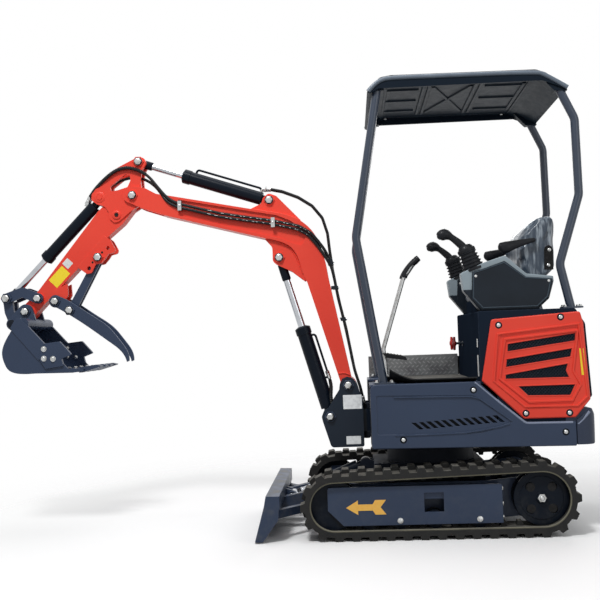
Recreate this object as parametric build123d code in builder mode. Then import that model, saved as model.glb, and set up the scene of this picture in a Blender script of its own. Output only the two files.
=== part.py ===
from build123d import *
import math
import os

os.makedirs("parts", exist_ok=True)

# Frame: X forward to the blade, Y to the left side, Z up, origin on the ground under the slew axis
# Points are (x, z) in the side view, and a third number rounds that corner

# Track
track_y = 375
track_w = 180
rear_wheel = (-489, 180)
front_wheel = (507, 165)
lug_h = 20
belt_t = 25
lug_count = 36
lug_root = 24
lug_tip = 16
lug_gap = 6
guide_h = 24
guide_half = 22
guide_root = 16
guide_tip = 10

# Track frame and wheels
plate_t = 14
frame_half = 46
guard_rear = -301
guard_front = 539
guard_low = 68
guard_top = 254
guard_cut = 75
window_x = (-21, 73)
window_z = (127, 219)
shelf_t = 54
roller_r = 44
roller_x = (340, 191, 23, -190)
axle_r = 18
rim_gap = 5
rim_out = 42
sprocket_hole_r = 21
sprocket_hole_at = 77
sprocket_hole_deep = 16
nut_r = 27
nut_t = 14
motor_r = 88
motor_in = 205

# Car body and blade
car_x = (-260, 300)
car_half = 190
car_low = 150
car_top = 330
beam_x = (-190, 200)
beam_w = 110
ring_r = 225
ring_t = 20
ring_top = 418
turn_gap = 0.5
blade_hinge = (372, 215)
blade_base = (342, 312)
blade_rod = (735, 150)
arm_y = 130
arm_t = 50
cheek_t = 20

# House
house_half = 430
skin_t = 12
deck_gap = 12
deck_t = 40
floor_top = 745
floor_t = 12
mat_t = 6
notch_half = 150
notch_x = 250
house_front = 313
deck_rear = -660
box_front = -223
box_top = 1086
box_wall = 8
tail = -769
tail_round = 70
louvre_count = 12
panel_recess = 4
cover_recess = 4
cover_edge = 5
kick_h = 120
kick_t = 4

# Swing post
king_x = 330
king_r = 18
lug_half = 36
lug_low = (450, 480)
lug_high = (600, 630)
post_in = 61
post_t = 20

# Arm
boom_half = 60
boom_recess = 12
fork_t = 14
side_gap = 1
stick_half = 45
box_half = 37
ear_in = 25
ear_t = 16
eye_half = 24
foot_pin_r = 20
pin_r = 15
pin_gap = 0.4
head_out = 6
boom_foot = (420, 729)
boom_cyl_base = (520, 567)
boom_cyl_pin = (765, 1422)
stick_cyl_base = (809, 1734)
stick_pivot = (1549, 1789)
stick_cyl_pin = (1515, 1974)
bucket_cyl_base = (1734, 1789)
rocker_pivot = (2083, 1250)
bucket_pivot = (2147, 1180)
link_pin = (2257, 1256)
push_pin = (2222, 1116)
thumb_pivot = (1988, 1231)
thumb_low = (1910, 1180)
thumb_high = (1752, 1463)
free_holes = ((1803, 1404), (1697, 1511))
free_hole_r = 11
bucket_half = 195
bucket_wall = 10
bucket_side_t = 12
strap_t = 6
cutter_t = 10
bucket_ear_in = 60
bucket_ear_t = 14
tooth_count = 4
hose_r = 8
pipe_r = 6

# Canopy and seat
post_y = house_half - 70
post_r = 21
foot_half = 40
foot_t = 8
roof_top = 2276
roof_t = 26
roof_half = post_y + 35
seat_half = 210
seat_base_h = 64
cushion_h = 88
seat_gap = 0.3
console_in = 262
console_w = 83
console_skin = 8
joystick_y = 300
lever_y = 70


# Plate or block with a side outline, from y0 to y1
def side(points, y0, y1, mode=Mode.ADD):
    with BuildSketch(Plane.XZ.offset(-y1)) as s:
        with BuildLine():
            Polyline(*[p[:2] for p in points], close=True)
        make_face()
        for x, z, r in [p for p in points if len(p) == 3]:
            fillet(s.vertices().sort_by_distance((x, z, 0))[0], r)
    extrude(s.sketch, amount=y1 - y0, mode=mode)


# The same with curved edges: a run of two points is a line, a longer one a smooth curve
def curved(runs, y0, y1, mode=Mode.ADD):
    with BuildSketch(Plane.XZ.offset(-y1)) as s:
        with BuildLine():
            for run in runs:
                if len(run) == 2:
                    Line(*run)
                else:
                    Spline(*run)
        make_face()
    extrude(s.sketch, amount=y1 - y0, mode=mode)


# Round along Y
def cross(at, r, y0, y1, mode=Mode.ADD):
    with BuildSketch(Plane.XZ.offset(-y1)) as s:
        with Locations(at):
            Circle(r)
    extrude(s.sketch, amount=y1 - y0, mode=mode)


# Block between two corners
def block(x, y, z, mode=Mode.ADD):
    at = ((x[0] + x[1]) / 2, (y[0] + y[1]) / 2, (z[0] + z[1]) / 2)
    with Locations(at):
        Box(x[1] - x[0], y[1] - y[0], z[1] - z[0], mode=mode)


# Upright round from z0 to z1
def upright(x, r, z0, z1, mode=Mode.ADD):
    with BuildSketch(Plane.XY.offset(z0)) as s:
        with Locations((x, 0)):
            Circle(r)
    extrude(s.sketch, amount=z1 - z0, mode=mode)


# Round bar from point to point in a side plane at y, tapered if a second radius is given
def bar(p, q, r, y=0, mode=Mode.ADD, end_r=None):
    a = Vector(p[0], y, p[1])
    b = Vector(q[0], y, q[1])
    with BuildSketch(Plane(origin=a, z_dir=b - a)) as low:
        Circle(r)
    if end_r is None:
        extrude(low.sketch, amount=(b - a).length, mode=mode)
        return
    with BuildSketch(Plane(origin=b, z_dir=b - a)) as high:
        Circle(end_r)
    loft([low.sketch, high.sketch], mode=mode)


# Flat link: hull of rounds at each point
def link(rounds, y0, y1, mode=Mode.ADD):
    with BuildSketch(Plane.XZ.offset(-y1)) as s:
        for x, z, r in rounds:
            with Locations((x, z)):
                Circle(r)
        make_hull()
    extrude(s.sketch, amount=y1 - y0, mode=mode)


# Round tube along points in a side plane at y
def tube(points, y, r, bend):
    path = [Vector(x, y, z) for x, z in points]
    with BuildLine() as line:
        FilletPolyline(*path, radius=bend)
    with BuildSketch(Plane(origin=path[0], z_dir=path[1] - path[0])) as s:
        Circle(r)
    sweep(s.sketch, path=line.line)


# Point at a distance from p towards q, moved aside by off
def toward(p, q, d, off=0):
    n = math.dist(p, q)
    ux = (q[0] - p[0]) / n
    uz = (q[1] - p[1]) / n
    return (p[0] + ux * d - uz * off, p[1] + uz * d + ux * off)


# Points moved to the right of their run by d
def inset(points, d):
    moved = []
    for i, p in enumerate(points):
        a = points[max(i - 1, 0)]
        b = points[min(i + 1, len(points) - 1)]
        n = math.dist(a, b)
        moved.append((p[0] + (b[1] - a[1]) / n * d, p[1] - (b[0] - a[0]) / n * d))
    return moved


# Points given by their height above z
def above(z, points):
    return [(p[0], z + p[1]) + tuple(p[2:]) for p in points]


# Both sides of the mid plane
def pair(y0, y1):
    return ((y0, y1), (-y1, -y0))


# Pin ends in two plates, from inner to outer on both sides
def stubs(at, r, inner, outer):
    for y0, y1 in pair(inner, outer):
        cross(at, r, y0, y1)


def save(part, name):
    part.part.label = name
    export_step(part.part, f"parts/{name}.step")


# Straight run and wheel arcs of the track, at a depth in from its outside
def loop_parts(depth):
    rx, rz = rear_wheel
    fx, fz = front_wheel
    lean = 2 * math.atan2(rz - fz, fx - rx)
    gap = math.hypot(fx - rx, fz - rz)
    run = gap * math.cos(math.asin((rz - fz) / gap))
    return run, lean, (rz - depth) * (math.pi + lean), (fz - depth) * (math.pi - lean)


# Point on the track loop at arc length s, with its outward angle
def on_loop(s, depth):
    rx, rz = rear_wheel
    fx, fz = front_wheel
    rr = rz - depth
    fr = fz - depth
    run, lean, rear_arc, front_arc = loop_parts(depth)
    s = s % (2 * run + rear_arc + front_arc)
    if s < run:
        return (fx - s, depth), -math.pi / 2
    s = s - run
    if s < rear_arc:
        a = -math.pi / 2 - s / rr
        return (rx + rr * math.cos(a), rz + rr * math.sin(a)), a
    s = s - rear_arc
    top = math.pi / 2 - lean
    if s < run:
        x = rx + rr * math.cos(top) + s * math.sin(top)
        z = rz + rr * math.sin(top) - s * math.cos(top)
        return (x, z), top
    s = s - run
    a = top - s / fr
    return (fx + fr * math.cos(a), fz + fr * math.sin(a)), a


# One row of tapered blocks round the loop, rooted in the belt
def blocks(depth, height, root, tip, shift, y0, y1):
    run, lean, rear_arc, front_arc = loop_parts(depth)
    pitch = (2 * run + rear_arc + front_arc) / lug_count
    sunk = math.copysign(3, -height)
    with BuildSketch(Plane.XZ.offset(-y1)) as s:
        for i in range(lug_count):
            p, a = on_loop((i + shift) * pitch, depth)
            n = (math.cos(a), math.sin(a))
            t = (-n[1], n[0])
            quad = []
            for along, up in ((-root, sunk), (root, sunk), (tip, height), (-tip, height)):
                quad.append((p[0] + t[0] * along + n[0] * up, p[1] + t[1] * along + n[1] * up))
            with BuildLine():
                Polyline(*quad, close=True)
            make_face()
    extrude(s.sketch, amount=y1 - y0)


# Tracks: belt, staggered lugs outside and guide blocks inside
belt_in = lug_h + belt_t
for name, y in (("left", track_y), ("right", -track_y)):
    y0 = y - track_w / 2
    y1 = y + track_w / 2
    with BuildPart() as track:
        link([wheel + (wheel[1] - lug_h,) for wheel in (rear_wheel, front_wheel)], y0, y1)
        link([wheel + (wheel[1] - belt_in,) for wheel in (rear_wheel, front_wheel)], y0, y1, Mode.SUBTRACT)
        blocks(lug_h, lug_h, lug_root, lug_tip, 0.25, y + lug_gap, y1)
        blocks(lug_h, lug_h, lug_root, lug_tip, 0.75, y0, y - lug_gap)
        blocks(belt_in, -guide_h, guide_root, guide_tip, 0.5, y - guide_half, y + guide_half)
        block((-900, 900), (y0 - 5, y1 + 5), (-20, 0), Mode.SUBTRACT)
    save(track, f"track_{name}")

# Track frames: inner plate, outer guard with its window, and the shelf between them
guard = [
    (guard_rear, guard_low), (guard_front - guard_cut, guard_low), (guard_front, guard_low + guard_cut),
    (guard_front, guard_top, 12), (guard_rear, guard_top, 12),
]
with BuildPart() as track_frames:
    for y in (track_y, -track_y):
        out = math.copysign(1, y)
        for a in (-1, 1):
            y0, y1 = sorted((y + a * out * frame_half, y + a * out * (frame_half + plate_t)))
            side(guard, y0, y1)
            if a > 0:
                block(window_x, (y0, y1), window_z, Mode.SUBTRACT)
            else:
                link([rear_wheel + (motor_r + 7,), (guard_rear + 60, 160, motor_r + 4)], y0, y1)
        middle = (y - frame_half, y + frame_half)
        block((guard_rear, front_wheel[0] - 147), middle, (guard_top - 12 - shelf_t, guard_top - 12))
        block((guard_rear, guard_rear + 12), middle, (guard_low + 42, guard_top - 12))
save(track_frames, "track_frames")

# Rollers, idlers and sprockets: rims each side of the guide blocks
rims = ((-rim_out, -guide_half - rim_gap), (guide_half + rim_gap, rim_out))
with BuildPart() as rollers:
    for y in (track_y, -track_y):
        for x in roller_x:
            at = (x, belt_in + roller_r)
            cross(at, axle_r, y - frame_half, y + frame_half)
            for y0, y1 in rims:
                cross(at, roller_r, y + y0, y + y1)
save(rollers, "rollers")
with BuildPart() as idlers:
    for y in (track_y, -track_y):
        cross(front_wheel, 24, y - frame_half, y + frame_half)
        cross(front_wheel, front_wheel[1] - belt_in - guide_h - 8, y - rim_out, y + rim_out)
        for y0, y1 in rims:
            cross(front_wheel, front_wheel[1] - belt_in - 1, y + y0, y + y1)
save(idlers, "idlers")
with BuildPart() as sprockets:
    for y in (track_y, -track_y):
        out = math.copysign(1, y)
        end = y + out * frame_half
        cross(rear_wheel, rear_wheel[1] - belt_in - guide_h - 8, y - frame_half, y + frame_half)
        for y0, y1 in rims:
            cross(rear_wheel, rear_wheel[1] - belt_in - 4, y + y0, y + y1)
        y0, y1 = sorted((end - out * sprocket_hole_deep, end))
        for i in range(4):
            a = math.radians(45 + 90 * i)
            x = rear_wheel[0] + sprocket_hole_at * math.cos(a)
            z = rear_wheel[1] + sprocket_hole_at * math.sin(a)
            cross((x, z), sprocket_hole_r, y0, y1, Mode.SUBTRACT)
        y0, y1 = sorted((end, end + out * nut_t))
        with BuildSketch(Plane.XZ.offset(-y1)) as s:
            with Locations(rear_wheel):
                RegularPolygon(nut_r, 6)
        extrude(amount=nut_t)
save(sprockets, "sprockets")
with BuildPart() as motors:
    for y0, y1 in pair(motor_in, track_y - frame_half - plate_t):
        cross(rear_wheel, motor_r, y0, y1)
save(motors, "travel_motors")

# Car body: box, two cross beams, the ring seat and the ears for the blade
beam_end = track_y - frame_half - plate_t
arm_in = arm_y - arm_t / 2 - side_gap
arm_out = arm_y + arm_t / 2 + side_gap
with BuildPart() as car_body:
    block(car_x, (-car_half, car_half), (car_low, car_top))
    for x in beam_x:
        block((x - beam_w / 2, x + beam_w / 2), (-beam_end, beam_end), (car_low - 20, car_top - 90))
    upright(0, ring_r, car_top, ring_top - ring_t)
    for inner, outer in ((arm_in - cheek_t, arm_in), (arm_out, arm_out + cheek_t)):
        for y0, y1 in pair(inner, outer):
            link([blade_hinge + (36,), (car_x[1], 200, 40)], y0, y1)
            block((car_x[1] - 10, car_x[1] + 10), (y0, y1), (160, 240))
    stubs(blade_hinge, pin_r, arm_in - cheek_t, arm_out + cheek_t)
    for y0, y1 in pair(ear_in, ear_in + ear_t):
        link([blade_base + (28,), (car_x[1] - 4, 290, 32)], y0, y1)
    cross(blade_base, pin_r, -ear_in - ear_t, ear_in + ear_t)
save(car_body, "car_body")

with BuildPart() as slew_ring:
    upright(0, ring_r - 5, ring_top - ring_t, ring_top)
save(slew_ring, "slew_ring")

# Blade: curved mouldboard with a top beam and end plates, two arms with braces, rod ears
blade_half = track_y + track_w / 2
board_front = [(838, 226), (846, 176), (860, 110), (882, 50), (897, 6)]
board_back = [(858, 6), (836, 70), (812, 130), (800, 160)]
blade_arm = [
    (blade_hinge[0], blade_hinge[1] - 35), (800, 96), (822, 110), (812, 150), (800, 162),
    (blade_hinge[0], blade_hinge[1] + 35),
]
with BuildPart() as blade:
    beam = [[(800, 160), (772, 160)], [(772, 160), (772, 224)], [(772, 224), (838, 226)]]
    curved([board_front, [(897, 6), (858, 6)], board_back] + beam, -blade_half, blade_half)
    for y0, y1 in pair(blade_half - 12, blade_half):
        side([(772, 224), (838, 226), (848, 176), (897, 6), (858, 6), (780, 110)], y0, y1)
    for y0, y1 in pair(arm_y - arm_t / 2, arm_y + arm_t / 2):
        side(blade_arm, y0, y1)
        cross(blade_hinge, 36, y0, y1)
        cross(blade_hinge, pin_r + pin_gap, y0, y1, Mode.SUBTRACT)
    for out in (1, -1):
        root = out * (arm_y + arm_t / 2)
        with BuildSketch(Plane.XY.offset(108)) as s:
            with BuildLine():
                end_in = out * (blade_half - 85)
                end_out = out * (blade_half - 35)
                Polyline((560, root), (600, root), (800, end_in), (800, end_out), close=True)
            make_face()
        extrude(s.sketch, amount=40)
    for y0, y1 in pair(ear_in, ear_in + ear_t):
        link([blade_rod + (28,), (820, 140, 28), (800, 180, 20)], y0, y1)
        cross(blade_rod, pin_r, y0, y1)
    block((820, 830), (-ear_in - ear_t, ear_in + ear_t), (130, 150))
save(blade, "blade")


# Barrel with its base eye, gland collar and bore, and the rod with its open eye
def cylinder(name, base, pin, r, rod_r, start, gland, base_r, base_half, rod_eye_r, rod_half, pipe=None):
    with BuildPart() as barrel:
        cross(base, base_r, -base_half, base_half)
        bar(base, toward(base, pin, start + 2), r * 0.62)
        bar(toward(base, pin, start), toward(base, pin, gland), r)
        bar(toward(base, pin, gland - 36), toward(base, pin, gland), r + 4)
        if pipe:
            low, high, off = pipe
            route = [(high, r - 3), (high, off), (low, off), (low, r - 3)]
            tube([toward(base, pin, d, aside) for d, aside in route], 0, pipe_r, 14)
        cross(base, pin_r + pin_gap, -base_half, base_half, Mode.SUBTRACT)
        bar(toward(base, pin, start + 30), toward(base, pin, gland + 1), rod_r + 0.5, 0, Mode.SUBTRACT)
    save(barrel, f"{name}_barrel")
    with BuildPart() as rod:
        bar(toward(base, pin, gland - 70), pin, rod_r)
        bar(toward(pin, base, rod_eye_r + 34), pin, rod_r + 3)
        cross(pin, rod_eye_r, -rod_half, rod_half)
        cross(pin, pin_r + pin_gap, -rod_half, rod_half, Mode.SUBTRACT)
    save(rod, f"{name}_rod")


blade_gland = math.dist(blade_base, blade_rod) - 150
cylinder("blade_cylinder", blade_base, blade_rod, 34, 17, 46, blade_gland, 30, eye_half, 28, eye_half)
cylinder(
    "boom_cylinder", boom_cyl_base, boom_cyl_pin, 38, 20, 46, 492, 38, post_in - side_gap, 33, eye_half,
    (200, 440, 55),
)
cylinder(
    "stick_cylinder", stick_cyl_base, stick_cyl_pin, 35, 18, 46, 490, 33, eye_half, 32, eye_half,
    (62, 430, 54),
)
cylinder("bucket_cylinder", bucket_cyl_base, link_pin, 33, 17, 58, 452, 33, eye_half, 30, 20)

# House deck with the turntable, the front walls beside the post and the kingpin lugs
deck_low = ring_top + deck_gap
deck_top = deck_low + deck_t
under_floor = floor_top - floor_t
inside = house_half - skin_t
with BuildPart() as house_deck:
    block((deck_rear, notch_x), (-inside, inside), (deck_low, deck_top))
    for y0, y1 in pair(notch_half, inside):
        block((notch_x - 5, house_front), (y0, y1), (deck_low, deck_top))
        block((house_front - skin_t, house_front), (y0, y1), (deck_low, under_floor))
    for y0, y1 in pair(notch_half, notch_half + skin_t):
        block((notch_x - 22, house_front), (y0, y1), (deck_low, under_floor))
    upright(0, ring_r - 10, ring_top + turn_gap, deck_low + 5)
    block((notch_x - 22, notch_x), (-notch_half, notch_half), (deck_low, under_floor))
    for z0, z1 in (lug_low, lug_high):
        block((notch_x - 5, king_x), (-lug_half, lug_half), (z0, z1))
        upright(king_x, lug_half, z0, z1)
    upright(king_x, king_r, lug_low[0] - 8, lug_high[1] + 10)
save(house_deck, "house_deck")

# Floor plate, mat and the kick plate along the right edge
with BuildPart() as floor:
    block((box_front, house_front), (-inside, inside), (under_floor, floor_top))
    notch = (notch_x, house_front + 1)
    block(notch, (-notch_half, notch_half), (under_floor - 1, floor_top + 1), Mode.SUBTRACT)
save(floor, "floor")
with BuildPart() as mat:
    mat_half = post_y - foot_half - 15
    block((box_front + 12, notch_x - 15), (-mat_half, mat_half), (floor_top, floor_top + mat_t))
save(mat, "floor_mat")
with BuildPart() as kick_plate:
    kick_x = (box_front + 8, house_front - 13)
    kick_top = floor_top + kick_h
    block(kick_x, (-inside + 6, -inside + 6 + kick_t), (floor_top, kick_top))
    block(kick_x, (-inside + 2, -inside + 6 + kick_t), (kick_top - kick_t, kick_top))
save(kick_plate, "kick_plate")

# Side panels with a recessed field and a row of slanted louvres
panel = [
    (house_front, floor_top, 28), (house_front, deck_low + 5, 8), (-667, deck_low - 6, 8), (-667, 541, 6),
    (-421, 541, 20), (-208, floor_top, 20),
]
panel_field = [
    (house_front - 28, floor_top - 53, 10), (-178, floor_top - 65, 16), (-211, floor_top - 79, 12),
    (-362, 553, 6), (-352, 538, 6), (-212, 498, 40), (house_front - 28, 502, 10),
]
louvre_first = 120
louvre_step = -35.5
louvre_rise = 2.2
louvre_w = 22
louvre_lean = -38
louvre_low = 523
louvre_high = 556
with BuildPart() as panels:
    for out in (1, -1):
        y0, y1 = sorted((out * inside, out * house_half))
        side(panel, y0, y1)
    for f in (panels.faces().sort_by(Axis.Y)[-1], panels.faces().sort_by(Axis.Y)[0]):
        fillet(f.edges(), 5)
    for out in (1, -1):
        y0, y1 = sorted((out * (house_half - panel_recess), out * house_half))
        side(panel_field, y0, y1, Mode.SUBTRACT)
        y0, y1 = sorted((out * inside, out * house_half))
        for i in range(louvre_count):
            x = louvre_first + louvre_step * i
            rise = louvre_rise * i
            slot = [
                (x, louvre_high + rise), (x - louvre_w, louvre_high + rise),
                (x - louvre_w + louvre_lean, louvre_low + rise), (x + louvre_lean, louvre_low + rise),
            ]
            side(slot, y0, y1, Mode.SUBTRACT)
save(panels, "side_panels")

# Engine covers with a bevelled edge, a recessed field and four vents
cover = [
    (-285, box_top - 42, 14), (-710, box_top - 17, 14), (-724, box_top - 74), (-741, 645, 10),
    (-667, 560, 10), (-422, 560, 14), (-228, 748, 14),
]
cover_field = [
    (-324, box_top - 120, 10), (-698, box_top - 92, 10), (-709, box_top - 121), (-705, 718, 10),
    (-651, 616, 10), (-438, 607, 14), (-286, 747, 14),
]
vents = (
    [(-360, box_top - 162), (-684, box_top - 120), (-680, box_top - 160), (-357, box_top - 202)],
    [(-352, 850), (-664, 893), (-655, 850), (-347, 809)],
    [(-344, 776), (-642, 820), (-631, 785), (-645, 752), (-343, 752)],
    [(-400, 718), (-672, 719), (-646, 666), (-447, 670)],
)
with BuildPart() as covers:
    for out in (1, -1):
        y0, y1 = sorted((out * inside, out * house_half))
        side(cover, y0, y1)
    for f in (covers.faces().sort_by(Axis.Y)[-1], covers.faces().sort_by(Axis.Y)[0]):
        chamfer(f.edges(), cover_edge)
    for out in (1, -1):
        y0, y1 = sorted((out * (house_half - cover_recess), out * house_half))
        side(cover_field, y0, y1, Mode.SUBTRACT)
        y0, y1 = sorted((out * inside, out * house_half))
        for vent in vents:
            side(vent, y0, y1, Mode.SUBTRACT)
save(covers, "engine_covers")

# Engine housing: closed box with the seat on it, hollow around the engine
shell = [
    (box_front, under_floor), (box_front, box_top, 10), (-690, box_top, 14), (-735, 1010, 20), (-752, 660, 14),
    (-700, 610), (-622, 610), (-622, deck_top), (-300, deck_top), (-300, under_floor),
]
hollow = [
    (box_front - box_wall, floor_top), (box_front - box_wall, box_top - box_wall), (-686, box_top - box_wall),
    (-727, 1006), (-742, 668), (-694, 622), (-610, 622), (-610, deck_top), (-312, deck_top), (-312, floor_top),
]
with BuildPart() as housing:
    side(shell, -inside, inside)
    side(hollow, -inside + box_wall, inside - box_wall, Mode.SUBTRACT)
save(housing, "engine_housing")
with BuildPart() as engine:
    block((-590, -350), (-190, 190), (deck_top, 850))
save(engine, "engine_block")

# Counterweight with rounded rear corners, wrapped round behind the side panels
weight = [
    (-622, 610), (-700, 610), (-747, 601, 10), (tail, 562, 20), (tail + 9, deck_low, 10), (deck_rear, deck_low),
    (deck_rear, deck_top), (-622, deck_top),
]
wrap = [(-671, 547), (-745, 600, 10), (tail, 562, 20), (tail + 9, deck_low, 10), (-671, deck_low)]
with BuildPart() as counterweight:
    side(weight, -inside, inside)
    side(wrap, -house_half, house_half)
    with BuildSketch(Plane.XY.offset(deck_low - 20)) as plan:
        with Locations(((tail - 600) / 2, 0)):
            Rectangle(-600 - tail, 2 * house_half)
        fillet(plan.vertices().group_by(Axis.X)[0], tail_round)
    extrude(plan.sketch, amount=300, mode=Mode.INTERSECT)
save(counterweight, "counterweight")

# Canopy posts with foot plates, and the roof with bosses that sit on the posts
front_rise = roof_top - floor_top
rear_rise = roof_top - box_top
front_line = ((240, floor_top - 20), (354, floor_top + 0.478 * front_rise), (213, roof_top - 14))
rear_line = (
    (-690, box_top - 20), (-640, box_top + 0.184 * rear_rise), (-749, box_top + 0.47 * rear_rise),
    (-746, box_top + 0.787 * rear_rise), (-661, roof_top - 66),
)
front_seat = roof_top - 72
rear_seat = roof_top - 116
tab_up = 497
tab_x, tab_z = toward(front_line[0], front_line[1], tab_up)
with BuildPart() as front_posts:
    for y in (post_y, -post_y):
        tube(front_line, y, post_r, 120)
        block((190, 290), (y - foot_half, y + foot_half), (floor_top, floor_top + foot_t))
    for y0, y1 in pair(post_y - 75, post_y):
        block((tab_x - 3, tab_x + 11), (y0, y1), (tab_z - 14, tab_z + 14))
    block((100, 330), (-roof_half, roof_half), (floor_top - 80, floor_top), Mode.SUBTRACT)
    block((100, 330), (-roof_half, roof_half), (front_seat, front_seat + 100), Mode.SUBTRACT)
save(front_posts, "canopy_front_posts")
with BuildPart() as rear_posts:
    for y in (post_y, -post_y):
        tube(rear_line, y, post_r, 80)
        block((-735, -640), (y - foot_half, y + foot_half), (box_top, box_top + foot_t))
    block((-760, -600), (-roof_half, roof_half), (box_top - 80, box_top), Mode.SUBTRACT)
    block((-760, -600), (-roof_half, roof_half), (rear_seat, rear_seat + 100), Mode.SUBTRACT)
save(rear_posts, "canopy_rear_posts")

roof_upper = [
    (272, -80), (250, -46, 30), (205, -8, 40), (150, 0), (-560, -8, 60), (-606, -24, 60), (-716, -98, 4),
]
roof_lower = [
    (-706, -110, 4), (-598, -20 - roof_t, 40), (-555, -6 - roof_t, 40), (145, -roof_t), (196, -8 - roof_t, 30),
    (238, -58, 20), (258, -86),
]
roof_rim = [(-706, -110), (-590, -64), (215, -64), (258, -86)]
front_boss = [(188, -72), (240, -72), (236, -50), (196, -roof_t), (180, -roof_t + 2)]
rear_boss = [(-712, -116), (-650, -116), (-570, -roof_t - 4), (-598, -roof_t - 10), (-710, -104)]
with BuildPart() as roof:
    side(above(roof_top, roof_upper + roof_lower), -roof_half, roof_half)
    for y0, y1 in pair(post_y + post_r + 4, roof_half):
        side(above(roof_top, roof_upper + roof_rim), y0, y1)
    for y0, y1 in pair(post_y - post_r - 3, post_y + post_r + 4):
        side(above(roof_top, front_boss), y0, y1)
        side(above(roof_top, rear_boss), y0, y1)
save(roof, "canopy_roof")

# Seat: base frame, cushion, back and armrests
seat_low = box_top + seat_base_h
seat_top = seat_low + cushion_h
with BuildPart() as seat_base:
    block((-560, -250), (-190, 190), (box_top, seat_low))
save(seat_base, "seat_base")
cushion_line = [
    (-235, seat_low, 10), (-228, seat_top - 8, 15), (-260, seat_top + 12, 15), (-495, seat_top),
    (-570, seat_top), (-570, seat_low, 10),
]
back_low = seat_top + seat_gap
back_line = [
    (-505, back_low), (-478, back_low + 56, 30), (-470, back_low + 160, 60), (-500, back_low + 245, 60),
    (-580, back_low + 330, 30), (-640, back_low + 340, 20), (-664, back_low + 318, 20), (-651, back_low + 40),
    (-600, back_low),
]
with BuildPart() as seat_cushion:
    side(cushion_line, -seat_half, seat_half)
save(seat_cushion, "seat_cushion")
with BuildPart() as seat_back:
    side(back_line, -seat_half, seat_half)
save(seat_back, "seat_back")
arm_line = [(-364, 173, 12), (-396, 142, 14), (-525, 183, 10), (-560, 190, 9), (-560, 214, 9), (-423, 204, 20)]
arm_pin = (-546, seat_top + 200)
with BuildPart() as armrests:
    for y0, y1 in pair(seat_half + 12, seat_half + 52):
        side(above(seat_top, arm_line), y0, y1)
    stubs(arm_pin, 10, seat_half, seat_half + 14)
save(armrests, "armrests")

# Consoles: a shell with a dark panel on each side
console = above(box_top, [
    (-159, 194, 14), (-266, 240, 20), (-381, 275, 12), (-482, 181, 20), (-612, 164, 6), (-614, 139, 8),
    (-588, 53, 20), (-527, 0), (-253, 0), (-170, 104, 14),
])
console_face = above(box_top, [
    (-216, 198, 8), (-270, 212, 10), (-376, 247, 8), (-478, 164, 16), (-604, 152, 6), (-608, 133, 8),
    (-586, 64, 20), (-527, 8), (-255, 8, 8), (-207, 68, 20),
])
shell_in = console_in + console_skin
shell_out = console_in + console_w - console_skin
with BuildPart() as consoles:
    for y0, y1 in pair(shell_in, shell_out):
        side(console, y0, y1)
save(consoles, "consoles")
with BuildPart() as console_panels:
    for inner, outer in ((console_in, shell_in), (shell_out, console_in + console_w)):
        for y0, y1 in pair(inner, outer):
            side(console_face, y0, y1)
save(console_panels, "console_panels")

# Joysticks: bellows, collar, stem and a grip that leans forward
bellows, collar_low, collar_high, stem, hand, tip = above(box_top, [
    (-231, 211), (-197, 296), (-186, 322), (-188, 314), (-112, 364), (-72, 398),
])
with BuildPart() as joysticks:
    for y in (joystick_y, -joystick_y):
        bar(bellows, collar_low, 32, y, Mode.ADD, 24)
        bar(toward(collar_low, bellows, 6), collar_high, 27, y)
        bar(stem, hand, 14, y)
        bar(toward(hand, stem, 18), tip, 16, y, Mode.ADD, 21)
        side(console, y - 60, y + 60, Mode.SUBTRACT)
save(joysticks, "joysticks")

# Travel levers with grips and foot pedals
mat_top = floor_top + mat_t
heel, knee, neck, grip, grip_bend, grip_end = above(mat_top, [
    (216, 10), (226, 167), (104, 542), (100, 554), (52, 615), (26, 635),
])
pedal = above(mat_top, [(222, 121), (230, 137), (118, 115), (112, 103)])
with BuildPart() as levers:
    for y in (lever_y, -lever_y):
        block((200, 232), (y - 14, y + 14), (mat_top, mat_top + 22))
        bar(heel, knee, 9, y)
        bar(toward(knee, heel, 4), grip, 9, y)
        bar(neck, grip_bend, 16, y)
        bar(toward(grip_bend, neck, 10), grip_end, 15, y)
        side(pedal, y - 34, y + 34)
save(levers, "travel_levers")

# Swing post: two plates, web, hub and pins
post_line = [
    (346, 405, 12), (519, 405, 20), (560, 540, 20), (566, 567, 20), (552, 600, 20), (528, 614, 20),
    (470, 700, 20), (465, 735, 20), (450, 765, 14), (425, 774, 14), (395, 766, 14), (376, 740, 14),
    (346, 640, 20),
]
web_x = (378, 398)
web_z = (405, 668)
with BuildPart() as post:
    for y0, y1 in pair(post_in, post_in + post_t):
        side(post_line, y0, y1)
    block(web_x, (-post_in - 2, post_in + 2), web_z)
    block((web_x[0], 500), (-post_in - 2, post_in + 2), (web_z[0], web_z[0] + 20))
    z0 = lug_low[1] + side_gap
    z1 = lug_high[0] - side_gap
    upright(king_x, lug_half, z0, z1)
    block((king_x, web_x[0] + 10), (-lug_half, lug_half), (z0, z1))
    upright(king_x, king_r + pin_gap, z0, z1, Mode.SUBTRACT)
    reach = post_in + post_t + head_out
    cross(boom_foot, foot_pin_r, -reach, reach)
    cross(boom_cyl_base, pin_r, -reach, reach)
save(post, "swing_post")

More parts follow.
